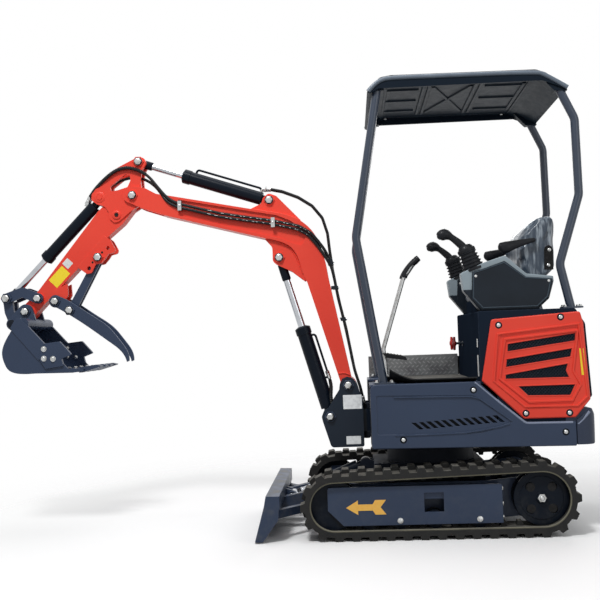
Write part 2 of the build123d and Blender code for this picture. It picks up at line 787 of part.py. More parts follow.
# Boom: bent box with recessed sides, foot, cylinder lug and bracket, fork
boom_heel = (399, 758)
boom_shoulder = (503, 1293)
boom_top = [boom_shoulder, (538, 1467), (572, 1541), (643, 1613), (760, 1659), (909, 1688)]
boom_low = [(838, 1527), (752, 1504), (694, 1469), (654, 1388), (617, 1278)]
boom_tip_x = 1385
boom_runs = [
    [boom_heel, boom_shoulder], boom_top, [(909, 1688), (boom_tip_x, 1786)],
    [(boom_tip_x, 1786), (boom_tip_x, 1676)], [(boom_tip_x, 1676), (838, 1527)], boom_low,
    [(617, 1278), (456, 732)], [(456, 732), boom_heel],
]
boom_field = [
    (1335, 1762, 20), (909, 1675, 60), (770, 1648, 60), (690, 1612, 50), (612, 1536, 20), (640, 1478, 20),
    (700, 1498, 40), (745, 1520, 30), (838, 1543, 60), (1335, 1679, 20),
]
fork = [
    (1300, 1766), (1420, 1792, 30), (1480, 1826, 30), (1549, 1839, 40), (1602, 1816, 40), (1596, 1762, 36),
    (1550, 1742, 20), (1498, 1716, 30), (1401, 1683), (1360, 1669), (1300, 1653),
]
bracket = [
    (643, 1600), (643, 1619), (770, 1755, 20), (812, 1772, 24), (841, 1748, 16), (853, 1717, 20), (912, 1690),
    (912, 1660),
]
lower_lug = [
    (632, 1290), (701, 1345, 30), (772, 1380, 30), (800, 1400, 26), (800, 1478, 40), (838, 1522), (800, 1570),
    (660, 1500), (600, 1330),
]
with BuildPart() as boom:
    curved(boom_runs, -boom_half, boom_half)
    for y0, y1 in pair(boom_half - boom_recess, boom_half):
        side(boom_field, y0, y1, Mode.SUBTRACT)
    cross(boom_foot, 44, -boom_half, boom_half)
    for y0, y1 in pair(stick_half + side_gap, boom_half):
        side(fork, y0, y1)
    for y0, y1 in pair(ear_in, ear_in + ear_t):
        side(bracket, y0, y1)
        side(lower_lug, y0, y1)
    stubs(boom_cyl_pin, pin_r, ear_in + 0.5, ear_in + ear_t + head_out)
    cross(boom_foot, foot_pin_r + pin_gap, -boom_half, boom_half, Mode.SUBTRACT)
    reach = ear_in + ear_t + head_out
    cross(stick_cyl_base, pin_r, -reach, reach)
    reach = boom_half + head_out
    cross(stick_pivot, foot_pin_r, -reach, reach)
save(boom, "boom")

# Hoses on the boom: a pair along the left side and a pair down the rear edge to the foot, with clamps
side_hose = ((548, 1494), (590, 1545), (653, 1584), (795, 1619), (938, 1644), (1072, 1669), (1302, 1733))
rear_hose = (
    (806, 1798), (740, 1783), (655, 1748), (580, 1698), (527, 1630), (502, 1545), (494, 1455), (482, 1350),
    (456, 1190), (421, 1030), (391, 850),
)
side_clamps = ((790, 1608), (1290, 1719))
rear_clamp = (470, 1250)
hose_y = boom_half + hose_r + 0.3
hose_step = 2 * hose_r + 2
with BuildPart() as boom_hoses:
    for route in (side_hose, inset(side_hose, hose_step)):
        tube(route, hose_y, hose_r, 60)
    for x, z in side_clamps:
        block((x - 8, x + 8), (boom_half - boom_recess, hose_y + hose_r + 2), (z - 24, z + 24))
    for y in (-hose_step / 2, hose_step / 2):
        tube(rear_hose, y, hose_r, 40)
    x, z = rear_clamp
    lean = (boom_shoulder[0] - boom_heel[0]) / (boom_shoulder[1] - boom_heel[1])
    face = boom_heel[0] + (z - 8 - boom_heel[1]) * lean - seat_gap
    block((x - 16, face), (-hose_step - 4, hose_step + 4), (z - 8, z + 8))
save(boom_hoses, "boom_hoses")


# Point along the stick from its pivot and off it
def on_stick(u, v):
    return toward(stick_pivot, bucket_pivot, u, v)


# Stick: tapered box between two cheeks with a window, tabs with the row of holes, ears for the thumb
stick_len = math.dist(stick_pivot, bucket_pivot)
stick_box = [
    (-20, -36), (40, 30), (130, 84), (190, 88), (728, 36), (stick_len, 40), (stick_len, -40), (724, -40),
    (270, -47), (150, -60), (40, -50),
]
cheek = [
    (1512, 2003, 20), (1626, 1949, 30), (1690, 1910, 30), (1776, 1808, 20), (1781, 1776, 16), (1750, 1752, 12),
    (1704, 1736, 16), (1686, 1706, 14), (1680, 1668, 16), (1657, 1646, 14), (1630, 1652, 14), (1565, 1704),
    (1511, 1736, 20), (1500, 1800), (1505, 1880), (1496, 1926, 12), (1472, 1964, 18), (1484, 1992, 14),
]
cheek_window = [
    (1674, 1846, 10), (1588, 1909, 10), (1564, 1902, 8), (1562, 1871, 10), (1579, 1838, 10), (1630, 1824),
    (1669, 1817, 10),
]
tab = [
    (1716, 1580), (1682, 1554, 20), (1655, 1503, 16), (1661, 1484, 14), (1695, 1477, 10), (1709, 1456, 10),
    (1733, 1429, 14), (1766, 1424, 10), (1789, 1378, 14), (1816, 1374, 14), (1866, 1412),
]
thumb_ear = [(1925, 1325), (1921, 1262, 20), (1952, 1216, 26), (1998, 1202, 26), (2016, 1240, 14), (2000, 1290)]
boss = (1641, 1689)
with BuildPart() as stick:
    side([on_stick(u, v) for u, v in stick_box], -box_half, box_half)
    cross(bucket_pivot, 40, -stick_half, stick_half)
    cross(bucket_pivot, 36, -bucket_ear_in + side_gap, bucket_ear_in - side_gap)
    cross(rocker_pivot, 28, -stick_half, stick_half)
    for y0, y1 in pair(ear_in, stick_half):
        side(cheek, y0, y1)
        side(cheek_window, y0, y1, Mode.SUBTRACT)
    cross(stick_pivot, 46, -stick_half, stick_half)
    stubs(boss, 18, stick_half, stick_half + side_gap / 2)
    stubs(stick_cyl_pin, pin_r, ear_in + 0.5, stick_half + head_out)
    cross(bucket_cyl_base, pin_r, -stick_half - head_out, stick_half + head_out)
    for y0, y1 in pair(ear_in + side_gap, ear_in + side_gap + fork_t):
        side(tab, y0, y1)
        for hole in free_holes:
            cross(hole, free_hole_r, y0, y1, Mode.SUBTRACT)
        side(thumb_ear, y0, y1)
    cross(stick_pivot, foot_pin_r + pin_gap, -stick_half, stick_half, Mode.SUBTRACT)
    reach = stick_half + side_gap + fork_t - 2 + head_out
    cross(rocker_pivot, pin_r, -reach, reach)
    reach = bucket_ear_in + bucket_ear_t + head_out
    cross(bucket_pivot, pin_r + 2, -reach, reach)
save(stick, "stick")

# Arched rocker pair and the curved push link
rocker_in = stick_half + side_gap
rocker_out = rocker_in + fork_t - 2
crown = toward(rocker_pivot, link_pin, math.dist(rocker_pivot, link_pin) / 2, 34)
with BuildPart() as rocker:
    for y0, y1 in pair(rocker_in, rocker_out):
        link([rocker_pivot + (28,), crown + (26,)], y0, y1)
        link([crown + (26,), link_pin + (28,)], y0, y1)
        cross(rocker_pivot, pin_r + pin_gap, y0, y1, Mode.SUBTRACT)
    stubs(link_pin, pin_r, 20.5, rocker_out + head_out)
save(rocker, "rocker_links")
bow = toward(link_pin, push_pin, math.dist(link_pin, push_pin) / 2, 10)
with BuildPart() as push:
    for y0, y1 in pair(ear_in - 3, rocker_in - 2 * side_gap):
        link([link_pin + (26,), bow + (25,)], y0, y1)
        link([bow + (25,), push_pin + (26,)], y0, y1)
    tie = rocker_in - 2 * side_gap
    link([toward(push_pin, link_pin, 46) + (20,), push_pin + (26,)], -tie, tie)
    cross(push_pin, 24, -bucket_ear_in + side_gap, bucket_ear_in - side_gap)
    cross(link_pin, pin_r + pin_gap, -stick_half, stick_half, Mode.SUBTRACT)
    cross(push_pin, pin_r + pin_gap, -bucket_ear_in, bucket_ear_in, Mode.SUBTRACT)
save(push, "push_link")

# Bucket: curved shell, side plates with straps and bolted cutters, cross tube, ears, lip and teeth
bucket_back = [(2152, 1120), (2218, 1015), (2233, 962), (2222, 908), (2198, 869), (2160, 852), (2060, 848)]
bucket_in = inset(bucket_back, bucket_wall)[::-1]
bucket_side = bucket_back + [(1850, 847), (1880, 866), (2004, 1004), (2129, 1142)]
strap = [(2155, 1141, 10), (2129, 1142, 10), (2004, 1004), (2036, 915), (2173, 1073), (2184, 1092, 10)]
cutter = [
    (2000, 1004), (1921, 1012, 10), (1859, 942, 6), (1913, 922, 6), (1903, 885, 4), (1999, 871),
    (2035, 930, 10),
]
lip = [(1860, 846), (1800, 852), (1800, 864), (1860, 868), (2062, 858), (2062, 848)]
tooth = [(1812, 845), (1715, 872), (1712, 878), (1740, 884), (1830, 872), (1830, 845)]
tooth_half = 24
bucket_tube = (2118, 1112)
with BuildPart() as bucket:
    ends = [[bucket_back[-1], bucket_in[0]], [bucket_in[-1], bucket_back[0]]]
    curved([bucket_back, ends[0], bucket_in, ends[1]], -bucket_half, bucket_half)
    for y0, y1 in pair(bucket_half - bucket_side_t, bucket_half):
        around = [bucket_side[i:i + 2] for i in range(len(bucket_back) - 1, len(bucket_side) - 1)]
        curved([bucket_back] + around + [[bucket_side[-1], bucket_side[0]]], y0, y1)
    for y0, y1 in pair(bucket_half, bucket_half + strap_t):
        side(strap, y0, y1)
    for y0, y1 in pair(bucket_half - bucket_side_t, bucket_half + cutter_t):
        side(cutter, y0, y1)
    side(lip, -bucket_half, bucket_half)
    spread = 2 * (bucket_half - 45) / (tooth_count - 1)
    for i in range(tooth_count):
        y = -bucket_half + 45 + spread * i
        side(tooth, y - tooth_half, y + tooth_half)
    cross(bucket_tube, 30, -bucket_half, bucket_half)
    for y0, y1 in pair(bucket_ear_in, bucket_ear_in + bucket_ear_t):
        link([bucket_pivot + (40,), push_pin + (32,), (2175, 1070, 24), bucket_tube + (30,)], y0, y1)
        cross(bucket_pivot, pin_r + 2 + pin_gap, y0, y1, Mode.SUBTRACT)
    stubs(push_pin, pin_r, bucket_ear_in + 0.5, bucket_ear_in + bucket_ear_t + head_out)
save(bucket, "bucket")

# Thumb: two hooked plates with a bridge, and the links that hold it
thumb_upper = [(1985, 1264), (1925, 1238), (1800, 1155), (1695, 1078), (1640, 1010), (1598, 945), (1590, 896)]
thumb_under = [(1604, 890), (1620, 930), (1695, 1000), (1800, 1078), (1905, 1150), (1985, 1198)]
thumb_in = stick_half + side_gap
thumb_t = 12
with BuildPart() as thumb:
    for y0, y1 in pair(thumb_in, thumb_in + thumb_t):
        ends = [[thumb_upper[-1], thumb_under[0]], [thumb_under[-1], thumb_upper[0]]]
        curved([thumb_upper, ends[0], thumb_under, ends[1]], y0, y1)
        cross(thumb_pivot, 34, y0, y1)
    block((1722, 1742), (-thumb_in - 1, thumb_in + 1), (1056, 1084))
    stubs(thumb_pivot, 12, ear_in + side_gap + fork_t, thumb_in + thumb_t + head_out)
save(thumb, "thumb")
with BuildPart() as thumb_link:
    for y0, y1 in pair(10, ear_in - side_gap):
        link([thumb_low + (24,), thumb_high + (20,)], y0, y1)
    cross(thumb_low, free_hole_r, -thumb_in, thumb_in)
    cross(thumb_high, free_hole_r, -ear_in - side_gap, ear_in + side_gap)
save(thumb_link, "thumb_link")
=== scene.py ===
import math

import bmesh
import bpy
from mathutils import Matrix, Vector


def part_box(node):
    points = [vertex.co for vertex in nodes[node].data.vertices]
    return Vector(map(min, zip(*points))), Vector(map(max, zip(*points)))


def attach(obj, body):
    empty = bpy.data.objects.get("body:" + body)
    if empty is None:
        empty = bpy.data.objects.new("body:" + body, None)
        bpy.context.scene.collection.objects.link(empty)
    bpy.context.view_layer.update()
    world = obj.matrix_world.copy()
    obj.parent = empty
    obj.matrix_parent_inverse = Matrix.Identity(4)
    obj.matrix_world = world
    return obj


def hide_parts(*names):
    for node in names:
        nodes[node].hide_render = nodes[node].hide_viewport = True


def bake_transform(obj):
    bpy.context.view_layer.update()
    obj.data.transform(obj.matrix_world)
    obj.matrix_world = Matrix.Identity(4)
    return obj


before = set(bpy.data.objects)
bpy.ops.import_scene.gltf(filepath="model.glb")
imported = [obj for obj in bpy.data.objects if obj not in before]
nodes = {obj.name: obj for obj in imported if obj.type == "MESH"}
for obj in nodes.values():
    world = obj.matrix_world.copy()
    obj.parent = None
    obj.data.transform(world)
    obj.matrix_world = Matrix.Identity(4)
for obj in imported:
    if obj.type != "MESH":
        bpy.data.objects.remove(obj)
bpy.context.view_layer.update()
scene = bpy.context.scene


# colour given as 0-255, as a paint chart gives it
def tint(red, green, blue):
    def linear(c):
        c = c / 255
        return c / 12.92 if c <= 0.04045 else ((c + 0.055) / 1.055) ** 2.4
    return (linear(red), linear(green), linear(blue), 1.0)


# millimetres on the machine to a point in metres
def at(x, y, z):
    return Vector((x, y, z)) * 0.001


# a socket that takes part in Python sums
class Wire:
    def __init__(self, owner, socket):
        self.owner = owner
        self.socket = socket

    def calc(self, operation, other, swap=False):
        first, second = (other, self) if swap else (self, other)
        return self.owner.node("ShaderNodeMath", {"operation": operation}, {0: first, 1: second})

    def __add__(self, other):
        return self.calc("ADD", other)

    def __radd__(self, other):
        return self.calc("ADD", other, True)

    def __sub__(self, other):
        return self.calc("SUBTRACT", other)

    def __rsub__(self, other):
        return self.calc("SUBTRACT", other, True)

    def __mul__(self, other):
        return self.calc("MULTIPLY", other)

    def __rmul__(self, other):
        return self.calc("MULTIPLY", other, True)


# a node tree, with the one method that adds a node
class NodeTree:
    def __init__(self, tree):
        self.tree = tree

    def node(self, kind, settings, sockets, out=0):
        made = self.tree.nodes.new(kind)
        for key, value in settings.items():
            setattr(made, key, value)
        for key, value in sockets.items():
            self.feed(made.inputs[key], value)
        return Wire(self, made.outputs[out])

    def feed(self, socket, value):
        if isinstance(value, Wire):
            self.tree.links.new(value.socket, socket)
        else:
            socket.default_value = value


# one material, with the nodes that its look is worked out by
class Finish(NodeTree):
    def __init__(self, name, fixed):
        self.material = bpy.data.materials.new(name)
        self.material.use_nodes = True
        super().__init__(self.material.node_tree)
        self.shader = self.tree.nodes["Principled BSDF"]
        for key, value in fixed.items():
            self.set(key, value)
        self.place = self.node("ShaderNodeTexCoord", {}, {}, "Object")

    def set(self, name, value):
        self.feed(self.shader.inputs[name], value)

    def noise(self, scale, detail=4, rough=0.5, place=None):
        sockets = {"Vector": place or self.place, "Scale": scale, "Detail": detail, "Roughness": rough}
        return self.node("ShaderNodeTexNoise", {}, sockets)

    def cells(self, scale):
        return self.node("ShaderNodeTexVoronoi", {"feature": "F1"}, {"Vector": self.place, "Scale": scale})

    def stretched(self, x, y, z):
        return self.node("ShaderNodeMapping", {}, {"Vector": self.place, "Scale": (x, y, z)})

    def along(self, axis):
        return self.node("ShaderNodeSeparateXYZ", {}, {"Vector": self.place}, axis)

    # 0 at low, 1 at high
    def band(self, value, low, high):
        settings = {"clamp": True, "interpolation_type": "SMOOTHSTEP"}
        return self.node("ShaderNodeMapRange", settings, {"Value": value, "From Min": low, "From Max": high})

    def mix(self, first, second, mask):
        return self.node("ShaderNodeMix", {"data_type": "RGBA"}, {0: mask, 6: first, 7: second}, 2)

    # 1 along outer edges, where paint is worn thin and where a painted highlight lightens them
    def edges(self, width):
        soft = self.node("ShaderNodeBevel", {"samples": 4}, {"Radius": width})
        flat = self.node("ShaderNodeNewGeometry", {}, {}, "Normal")
        turn = self.node("ShaderNodeVectorMath", {"operation": "DOT_PRODUCT"}, {0: soft, 1: flat}, "Value")
        return self.band(turn, 0.985, 0.86)

    # 1 on a face that looks up, 0 on an upright one, -1 on one that looks down
    def tilt(self):
        flat = self.node("ShaderNodeNewGeometry", {}, {}, "Normal")
        return self.node("ShaderNodeSeparateXYZ", {}, {"Vector": flat}, "Z")

    # faces that look up, where dust settles and where a painted sheen of the light from above pales them
    def upward(self):
        return self.band(self.tilt(), 0.35, 0.9)

    def bump(self, height, strength, distance):
        sockets = {"Height": height, "Strength": strength, "Distance": distance}
        self.set("Normal", self.node("ShaderNodeBump", {}, sockets))


# colour of dust, and of the painted sheen on faces that look up
dustAndSheenColour = tint(126, 123, 116)


# sprayed paint: orange peel, faint clouds, thin edges with a painted highlight, dust that rises from the
# ground, and tops paled by dust and a painted sheen
def paintFinish(name, look):
    f = Finish(name, {"Specular IOR Level": look["gloss"], "Coat Roughness": 0.09, "Coat IOR": 1.5})
    cloud = f.band(f.noise(2.6, 3), 0.3, 0.7)
    grime = f.noise(17, 7, 0.65)
    low = f.band(f.along("Z"), look["dustTop"], 0.0)
    # dust near the ground, and dust with a painted sheen on faces that look up
    dust = f.band(grime, 0.42, 0.74) * (low * look["dust"] + f.upward() * look["topDustAndSheen"])
    colour = f.mix(look["colour"], look["shade"], cloud * 0.6)
    # edges: worn paint and a painted highlight
    colour = f.mix(colour, look["edge"], f.edges(0.003) * f.band(grime, 0.35, 0.6) * look["edgeWearAndHighlight"])
    f.set("Base Color", f.mix(colour, dustAndSheenColour, dust))
    f.set("Roughness", look["rough"] + f.band(grime, 0.3, 0.8) * 0.12 + dust * 0.35)
    f.set("Coat Weight", look["coat"] - dust * look["coat"])
    f.bump(f.noise(look["peel"], 2, 0.4) + f.noise(24, 2) * 0.9, 0.12, 0.0008)
    return f


# bare metal: fine scratches along one way, a little staining
def metalFinish(name, look):
    f = Finish(name, {"Metallic": 1.0, "Specular IOR Level": 0.5})
    stain = f.noise(look["stain"], 6, 0.6)
    scratch = f.noise(90, 3, 0.6, f.stretched(*look["grain"]))
    f.set("Base Color", f.mix(look["colour"], look["dull"], f.band(stain, 0.42, 0.72)))
    f.set("Roughness", look["rough"] + f.band(stain, 0.35, 0.75) * look["spread"] + scratch * 0.06)
    f.bump(scratch + stain * 0.5, look["bump"], 0.0006)
    return f


# moulded plastic or rubber: pebbled grain, scuffs, settled dust, a painted sheen on faces that look up and a
# painted highlight on edges
# wall is the colour of upright faces, a painted shade, under the colour below the height underTop
def mouldFinish(name, look):
    f = Finish(name, {"Specular IOR Level": look["gloss"], "Coat Roughness": 0.15})
    grain = f.cells(look["grain"])
    scuff = f.noise(21, 7, 0.7)
    # dust, and a painted sheen on faces that look up
    dust = f.band(scuff, 0.15, 0.85) * (f.upward() * look["topDustAndSheen"] + look["dust"])
    colour = f.mix(look["colour"], look["shade"], f.band(f.noise(6, 3), 0.3, 0.7))
    # edges: scuffs and a painted highlight
    colour = f.mix(colour, look["edge"], f.edges(0.0025) * look["edgeWearAndHighlight"])
    # upright faces darkened: painted shade
    if "wall" in look:
        steep = f.node("ShaderNodeMath", {"operation": "ABSOLUTE"}, {0: f.tilt()})
        colour = f.mix(colour, look["wall"], f.band(steep, 0.55, 0.3))
    if "under" in look:
        below = f.band(f.along("Z"), look["underTop"] + 0.001, look["underTop"] - 0.001)
        colour = f.mix(colour, look["under"], below)
    f.set("Base Color", f.mix(colour, dustAndSheenColour, dust))
    f.set("Roughness", look["rough"] + f.band(scuff, 0.3, 0.8) * 0.14 + dust * 0.3)
    f.set("Coat Weight", look["coat"] - dust * look["coat"])
    f.bump(grain + scuff * 0.6, look["bump"], 0.0007)
    return f


# seat vinyl in its clear cover: dark hide under a glossy, creased sheet whose pale streaks are painted
# highlights
def filmFinish(name, look):
    f = Finish(name, {"Specular IOR Level": 0.3, "Coat Roughness": 0.06, "Coat IOR": 1.5})
    crease = f.noise(34, 3, 0.5, f.stretched(1.0, 1.0, 0.22))
    fine = f.noise(80, 4, 0.55, f.stretched(1.0, 1.0, 0.16))
    # pale streaks along the creases: painted highlights
    glint = f.band(crease, 0.5, 0.63) * f.band(fine, 0.36, 0.6)
    f.set("Base Color", f.mix(look["hide"], look["filmGlint"], glint * 0.5 + f.band(fine, 0.4, 0.75) * 0.2))
    f.set("Roughness", look["rough"] + f.band(fine, 0.4, 0.8) * 0.2)
    f.set("Coat Weight", 0.15 + glint * 0.5)
    f.bump(crease * 0.8 + fine * 0.4, 0.5, 0.006)
    return f


# flat sticker, plate or knob with a worn, slightly mottled face
def plateFinish(name, look):
    f = Finish(name, {"Metallic": look["metal"], "Specular IOR Level": 0.5})
    mottle = f.noise(60, 5, 0.6)
    f.set("Base Color", f.mix(look["colour"], look["shade"], f.band(mottle, 0.4, 0.75)))
    f.set("Roughness", look["rough"] + f.band(mottle, 0.3, 0.8) * 0.15)
    f.bump(f.noise(300, 2), 0.05, 0.0004)
    return f


# paints
slateLook = {
    "colour": tint(52, 65, 88), "shade": tint(46, 58, 80), "edge": tint(104, 114, 134), "edgeWearAndHighlight": 0.45,
    "rough": 0.36, "coat": 0.1, "gloss": 0.22, "peel": 420, "dust": 0.07, "topDustAndSheen": 0.08, "dustTop": 0.5,
}
redLook = {
    "colour": tint(238, 74, 57), "shade": tint(228, 63, 49), "edge": tint(244, 124, 102), "edgeWearAndHighlight": 0.4,
    "rough": 0.36, "coat": 0.1, "gloss": 0.2, "peel": 420, "dust": 0.0, "topDustAndSheen": 0.06, "dustTop": 0.4,
}
blackLook = {
    "colour": tint(14, 22, 33), "shade": tint(10, 17, 26), "edge": tint(58, 66, 80), "edgeWearAndHighlight": 0.35,
    "rough": 0.3, "coat": 0.05, "gloss": 0.07, "peel": 420, "dust": 0.1, "topDustAndSheen": 0.06, "dustTop": 0.35,
}
boxLook = dict(slateLook, colour=tint(33, 42, 55), shade=tint(28, 36, 48), rough=0.6, coat=0.0, gloss=0.0)
# dark slate under the house and on the pin washers: painted shade
underShadeLook = dict(slateLook, colour=tint(24, 29, 39), shade=tint(18, 22, 30), rough=0.5, coat=0.0, gloss=0.12)
ironLook = dict(slateLook, colour=tint(50, 59, 78), shade=tint(42, 50, 66), rough=0.42, peel=120)
# darker slate for the swing post: painted shade, as it stands in shadow
swingPostShadeLook = dict(slateLook, colour=tint(31, 41, 54), shade=tint(27, 36, 48), gloss=0.12)
bladeLook = dict(slateLook, dust=0.25, topDustAndSheen=0.9)
postLook = dict(slateLook, colour=tint(44, 55, 72), shade=tint(40, 50, 66), coat=0.35, gloss=0.3)
# pale slate for the rolled hems: a painted highlight
hemHighlightLook = dict(slateLook, colour=tint(132, 142, 164), shade=tint(118, 128, 150), gloss=0.4)

# bare metals
chromeLook = {
    "colour": (0.5, 0.52, 0.55, 1), "dull": (0.42, 0.44, 0.46, 1), "rough": 0.12, "spread": 0.06,
    "stain": 9, "grain": (1, 1, 1), "bump": 0.02,
}
zincLook = {
    "colour": (0.5, 0.51, 0.51, 1), "dull": (0.34, 0.34, 0.32, 1), "rough": 0.24, "spread": 0.2,
    "stain": 38, "grain": (1, 1, 6), "bump": 0.1,
}
alloyLook = {
    "colour": (0.42, 0.43, 0.43, 1), "dull": (0.28, 0.28, 0.28, 1), "rough": 0.34, "spread": 0.22,
    "stain": 12, "grain": (1, 20, 20), "bump": 0.12,
}
# kick plate: the alloy made darker than its studs, a painted shade
treadShadeLook = dict(alloyLook, colour=(0.27, 0.28, 0.28, 1), dull=(0.19, 0.19, 0.2, 1), rough=0.5)

# rubbers and plastics
trackLook = {
    "colour": tint(25, 26, 28), "shade": tint(33, 33, 34), "edge": tint(84, 84, 81), "edgeWearAndHighlight": 0.7,
    "rough": 0.62, "coat": 0.0, "gloss": 0.2, "grain": 260, "dust": 0.1, "topDustAndSheen": 0.75, "bump": 0.3,
}
matLook = dict(trackLook, colour=tint(30, 31, 34), shade=tint(24, 25, 28), grain=420, dust=0.02, topDustAndSheen=0.8)
rimLook = dict(trackLook, colour=tint(126, 123, 106), shade=tint(98, 96, 84))
plasticLook = {
    "colour": tint(25, 33, 42), "shade": tint(20, 27, 35), "edge": tint(66, 76, 88), "edgeWearAndHighlight": 0.35,
    "rough": 0.38, "coat": 0.06, "gloss": 0.16, "grain": 620, "dust": 0.0, "topDustAndSheen": 0.08, "bump": 0.12,
}
# canopy roof: its wall colour on the upright skirts is a painted shade
roofLook = dict(
    plasticLook, colour=tint(30, 40, 50), shade=tint(25, 34, 43), wall=tint(17, 27, 38),
    coat=0.04, gloss=0.06, topDustAndSheen=0.02,
)
# pale roof rim: a painted highlight
roofRimHighlightLook = dict(plasticLook, colour=tint(104, 115, 127), shade=tint(92, 103, 116), coat=0.2, gloss=0.3)
# paler plastic for the console beads: a painted highlight
beadHighlightLook = dict(plasticLook, colour=tint(66, 78, 88), shade=tint(58, 70, 80))
greyLook = dict(
    plasticLook, colour=tint(150, 163, 170), shade=tint(140, 153, 161), edge=tint(200, 208, 212),
    rough=0.42, under=plasticLook["colour"], underTop=1.196,
)
gripLook = dict(
    plasticLook, colour=tint(21, 23, 28), shade=tint(16, 18, 22), rough=0.42, bump=0.25, grain=800,
)
hoseLook = dict(
    plasticLook, colour=tint(17, 18, 20), shade=tint(23, 24, 26), rough=0.4, bump=0.2, grain=900,
)
filmLook = {"hide": tint(58, 70, 84), "filmGlint": tint(186, 198, 208), "rough": 0.28}

# stickers, plates, knobs, and black for holes and recesses as painted shade
amberLook = {"colour": tint(255, 198, 92), "shade": tint(252, 188, 78), "rough": 0.35, "metal": 0}
yellowLook = {"colour": tint(252, 224, 46), "shade": tint(246, 214, 40), "rough": 0.3, "metal": 0}
whiteLook = {"colour": tint(228, 228, 226), "shade": tint(214, 215, 214), "rough": 0.3, "metal": 0}
plateLook = {"colour": (0.72, 0.74, 0.75, 1), "shade": (0.6, 0.62, 0.63, 1), "rough": 0.3, "metal": 0.7}
knobLook = {"colour": tint(214, 44, 34), "shade": tint(190, 34, 28), "rough": 0.35, "metal": 0}
darkKnobLook = {"colour": tint(120, 26, 24), "shade": tint(98, 20, 20), "rough": 0.4, "metal": 0}
recessShadeLook = {"colour": tint(5, 5, 6), "shade": tint(3, 3, 4), "rough": 0.9, "metal": 0}

slatePaint = paintFinish("slatePaint", slateLook)
redPaint = paintFinish("redPaint", redLook)
blackPaint = paintFinish("blackPaint", blackLook)
swingPostShadePaint = paintFinish("swingPostShadePaint", swingPostShadeLook)
bladePaint = paintFinish("bladePaint", bladeLook)
postPaint = paintFinish("postPaint", postLook)
hemHighlightPaint = paintFinish("hemHighlightPaint", hemHighlightLook)
castIron = paintFinish("castIron", ironLook)
boxPaint = paintFinish("boxPaint", boxLook)
underShadePaint = paintFinish("underShadePaint", underShadeLook)
chrome = metalFinish("chrome", chromeLook)
zinc = metalFinish("zinc", zincLook)
alloy = metalFinish("alloy", alloyLook)
treadShadePlate = metalFinish("treadShadePlate", treadShadeLook)
trackRubber = mouldFinish("trackRubber", trackLook)
matRubber = mouldFinish("matRubber", matLook)
rimRubber = mouldFinish("rimRubber", rimLook)
blackPlastic = mouldFinish("blackPlastic", plasticLook)
roofPlastic = mouldFinish("roofPlastic", roofLook)
roofRimHighlight = mouldFinish("roofRimHighlight", roofRimHighlightLook)
beadHighlightPlastic = mouldFinish("beadHighlightPlastic", beadHighlightLook)
consolePlastic = mouldFinish("consolePlastic", greyLook)
gripPlastic = mouldFinish("gripPlastic", gripLook)
hoseRubber = mouldFinish("hoseRubber", hoseLook)
seatFilm = filmFinish("seatFilm", filmLook)
arrowYellow = plateFinish("arrowYellow", amberLook)
stickerYellow = plateFinish("stickerYellow", yellowLook)
stickerWhite = plateFinish("stickerWhite", whiteLook)
namePlate = plateFinish("namePlate", plateLook)
knobRed = plateFinish("knobRed", knobLook)
knobDark = plateFinish("knobDark", darkKnobLook)
recessShade = plateFinish("recessShade", recessShadeLook)
print("finishes made")

# finish of each node, and how far its edges are rounded, in mm
dressing = (
    (trackRubber, 2.5, ("track_left", "track_right")),
    (slatePaint, 2.0, ("track_frames", "floor", "bucket", "thumb")),
    (swingPostShadePaint, 2.0, ("swing_post",)),
    (bladePaint, 2.0, ("blade",)),
    (underShadePaint, 2.0, ("car_body", "house_deck", "slew_ring")),
    (slatePaint, 1.5, ("rocker_links", "push_link", "thumb_link", "side_panels")),
    (postPaint, 0.0, ("canopy_front_posts", "canopy_rear_posts")),
    (blackPaint, 1.5, ("rollers", "idlers", "sprockets", "travel_motors")),
    (blackPaint, 1.5, ("blade_cylinder_barrel", "boom_cylinder_barrel", "stick_cylinder_barrel")),
    (blackPaint, 1.5, ("bucket_cylinder_barrel",)),
    (chrome, 1.0, ("blade_cylinder_rod", "boom_cylinder_rod", "stick_cylinder_rod", "bucket_cylinder_rod")),
    (zinc, 1.0, ("travel_levers",)),
    (matRubber, 0.0, ("floor_mat",)),
    (treadShadePlate, 1.0, ("kick_plate",)),
    (alloy, 1.0, ("engine_block",)),
    (redPaint, 2.5, ("boom", "stick")),
    (redPaint, 1.5, ("engine_covers",)),
    (boxPaint, 3.0, ("engine_housing", "seat_base")),
    (roofPlastic, 3.0, ("canopy_roof",)),
    (blackPlastic, 2.0, ("console_panels",)),
    (castIron, 5.0, ("counterweight",)),
    (gripPlastic, 8.0, ("armrests",)),
    (gripPlastic, 1.0, ("joysticks",)),
    (consolePlastic, 5.0, ("consoles",)),
    (hoseRubber, 0.0, ("boom_hoses",)),
    (seatFilm, 0.0, ("seat_cushion", "seat_back")),
)


# rounded edges on a node that keeps its own mesh
def softEdges(obj, width):
    weld = obj.modifiers.new("weld", "WELD")
    weld.merge_threshold = 0.00002
    flat = obj.modifiers.new("flat", "DECIMATE")
    flat.decimate_type = "DISSOLVE"
    flat.angle_limit = math.radians(0.4)
    bevel = obj.modifiers.new("bevel", "BEVEL")
    bevel.limit_method = "ANGLE"
    bevel.angle_limit = math.radians(32)
    bevel.width = width * 0.001
    bevel.segments = 2
    bevel.use_clamp_overlap = True
    shade = obj.modifiers.new("shade", "WEIGHTED_NORMAL")
    shade.keep_sharp = True


for finish, width, names in dressing:
    for name in names:
        obj = nodes[name]
        if not obj.material_slots:
            obj.data.materials.append(finish.material)
        for slot in obj.material_slots:
            slot.material = finish.material
        if width:
            softEdges(obj, width)
print("nodes dressed")


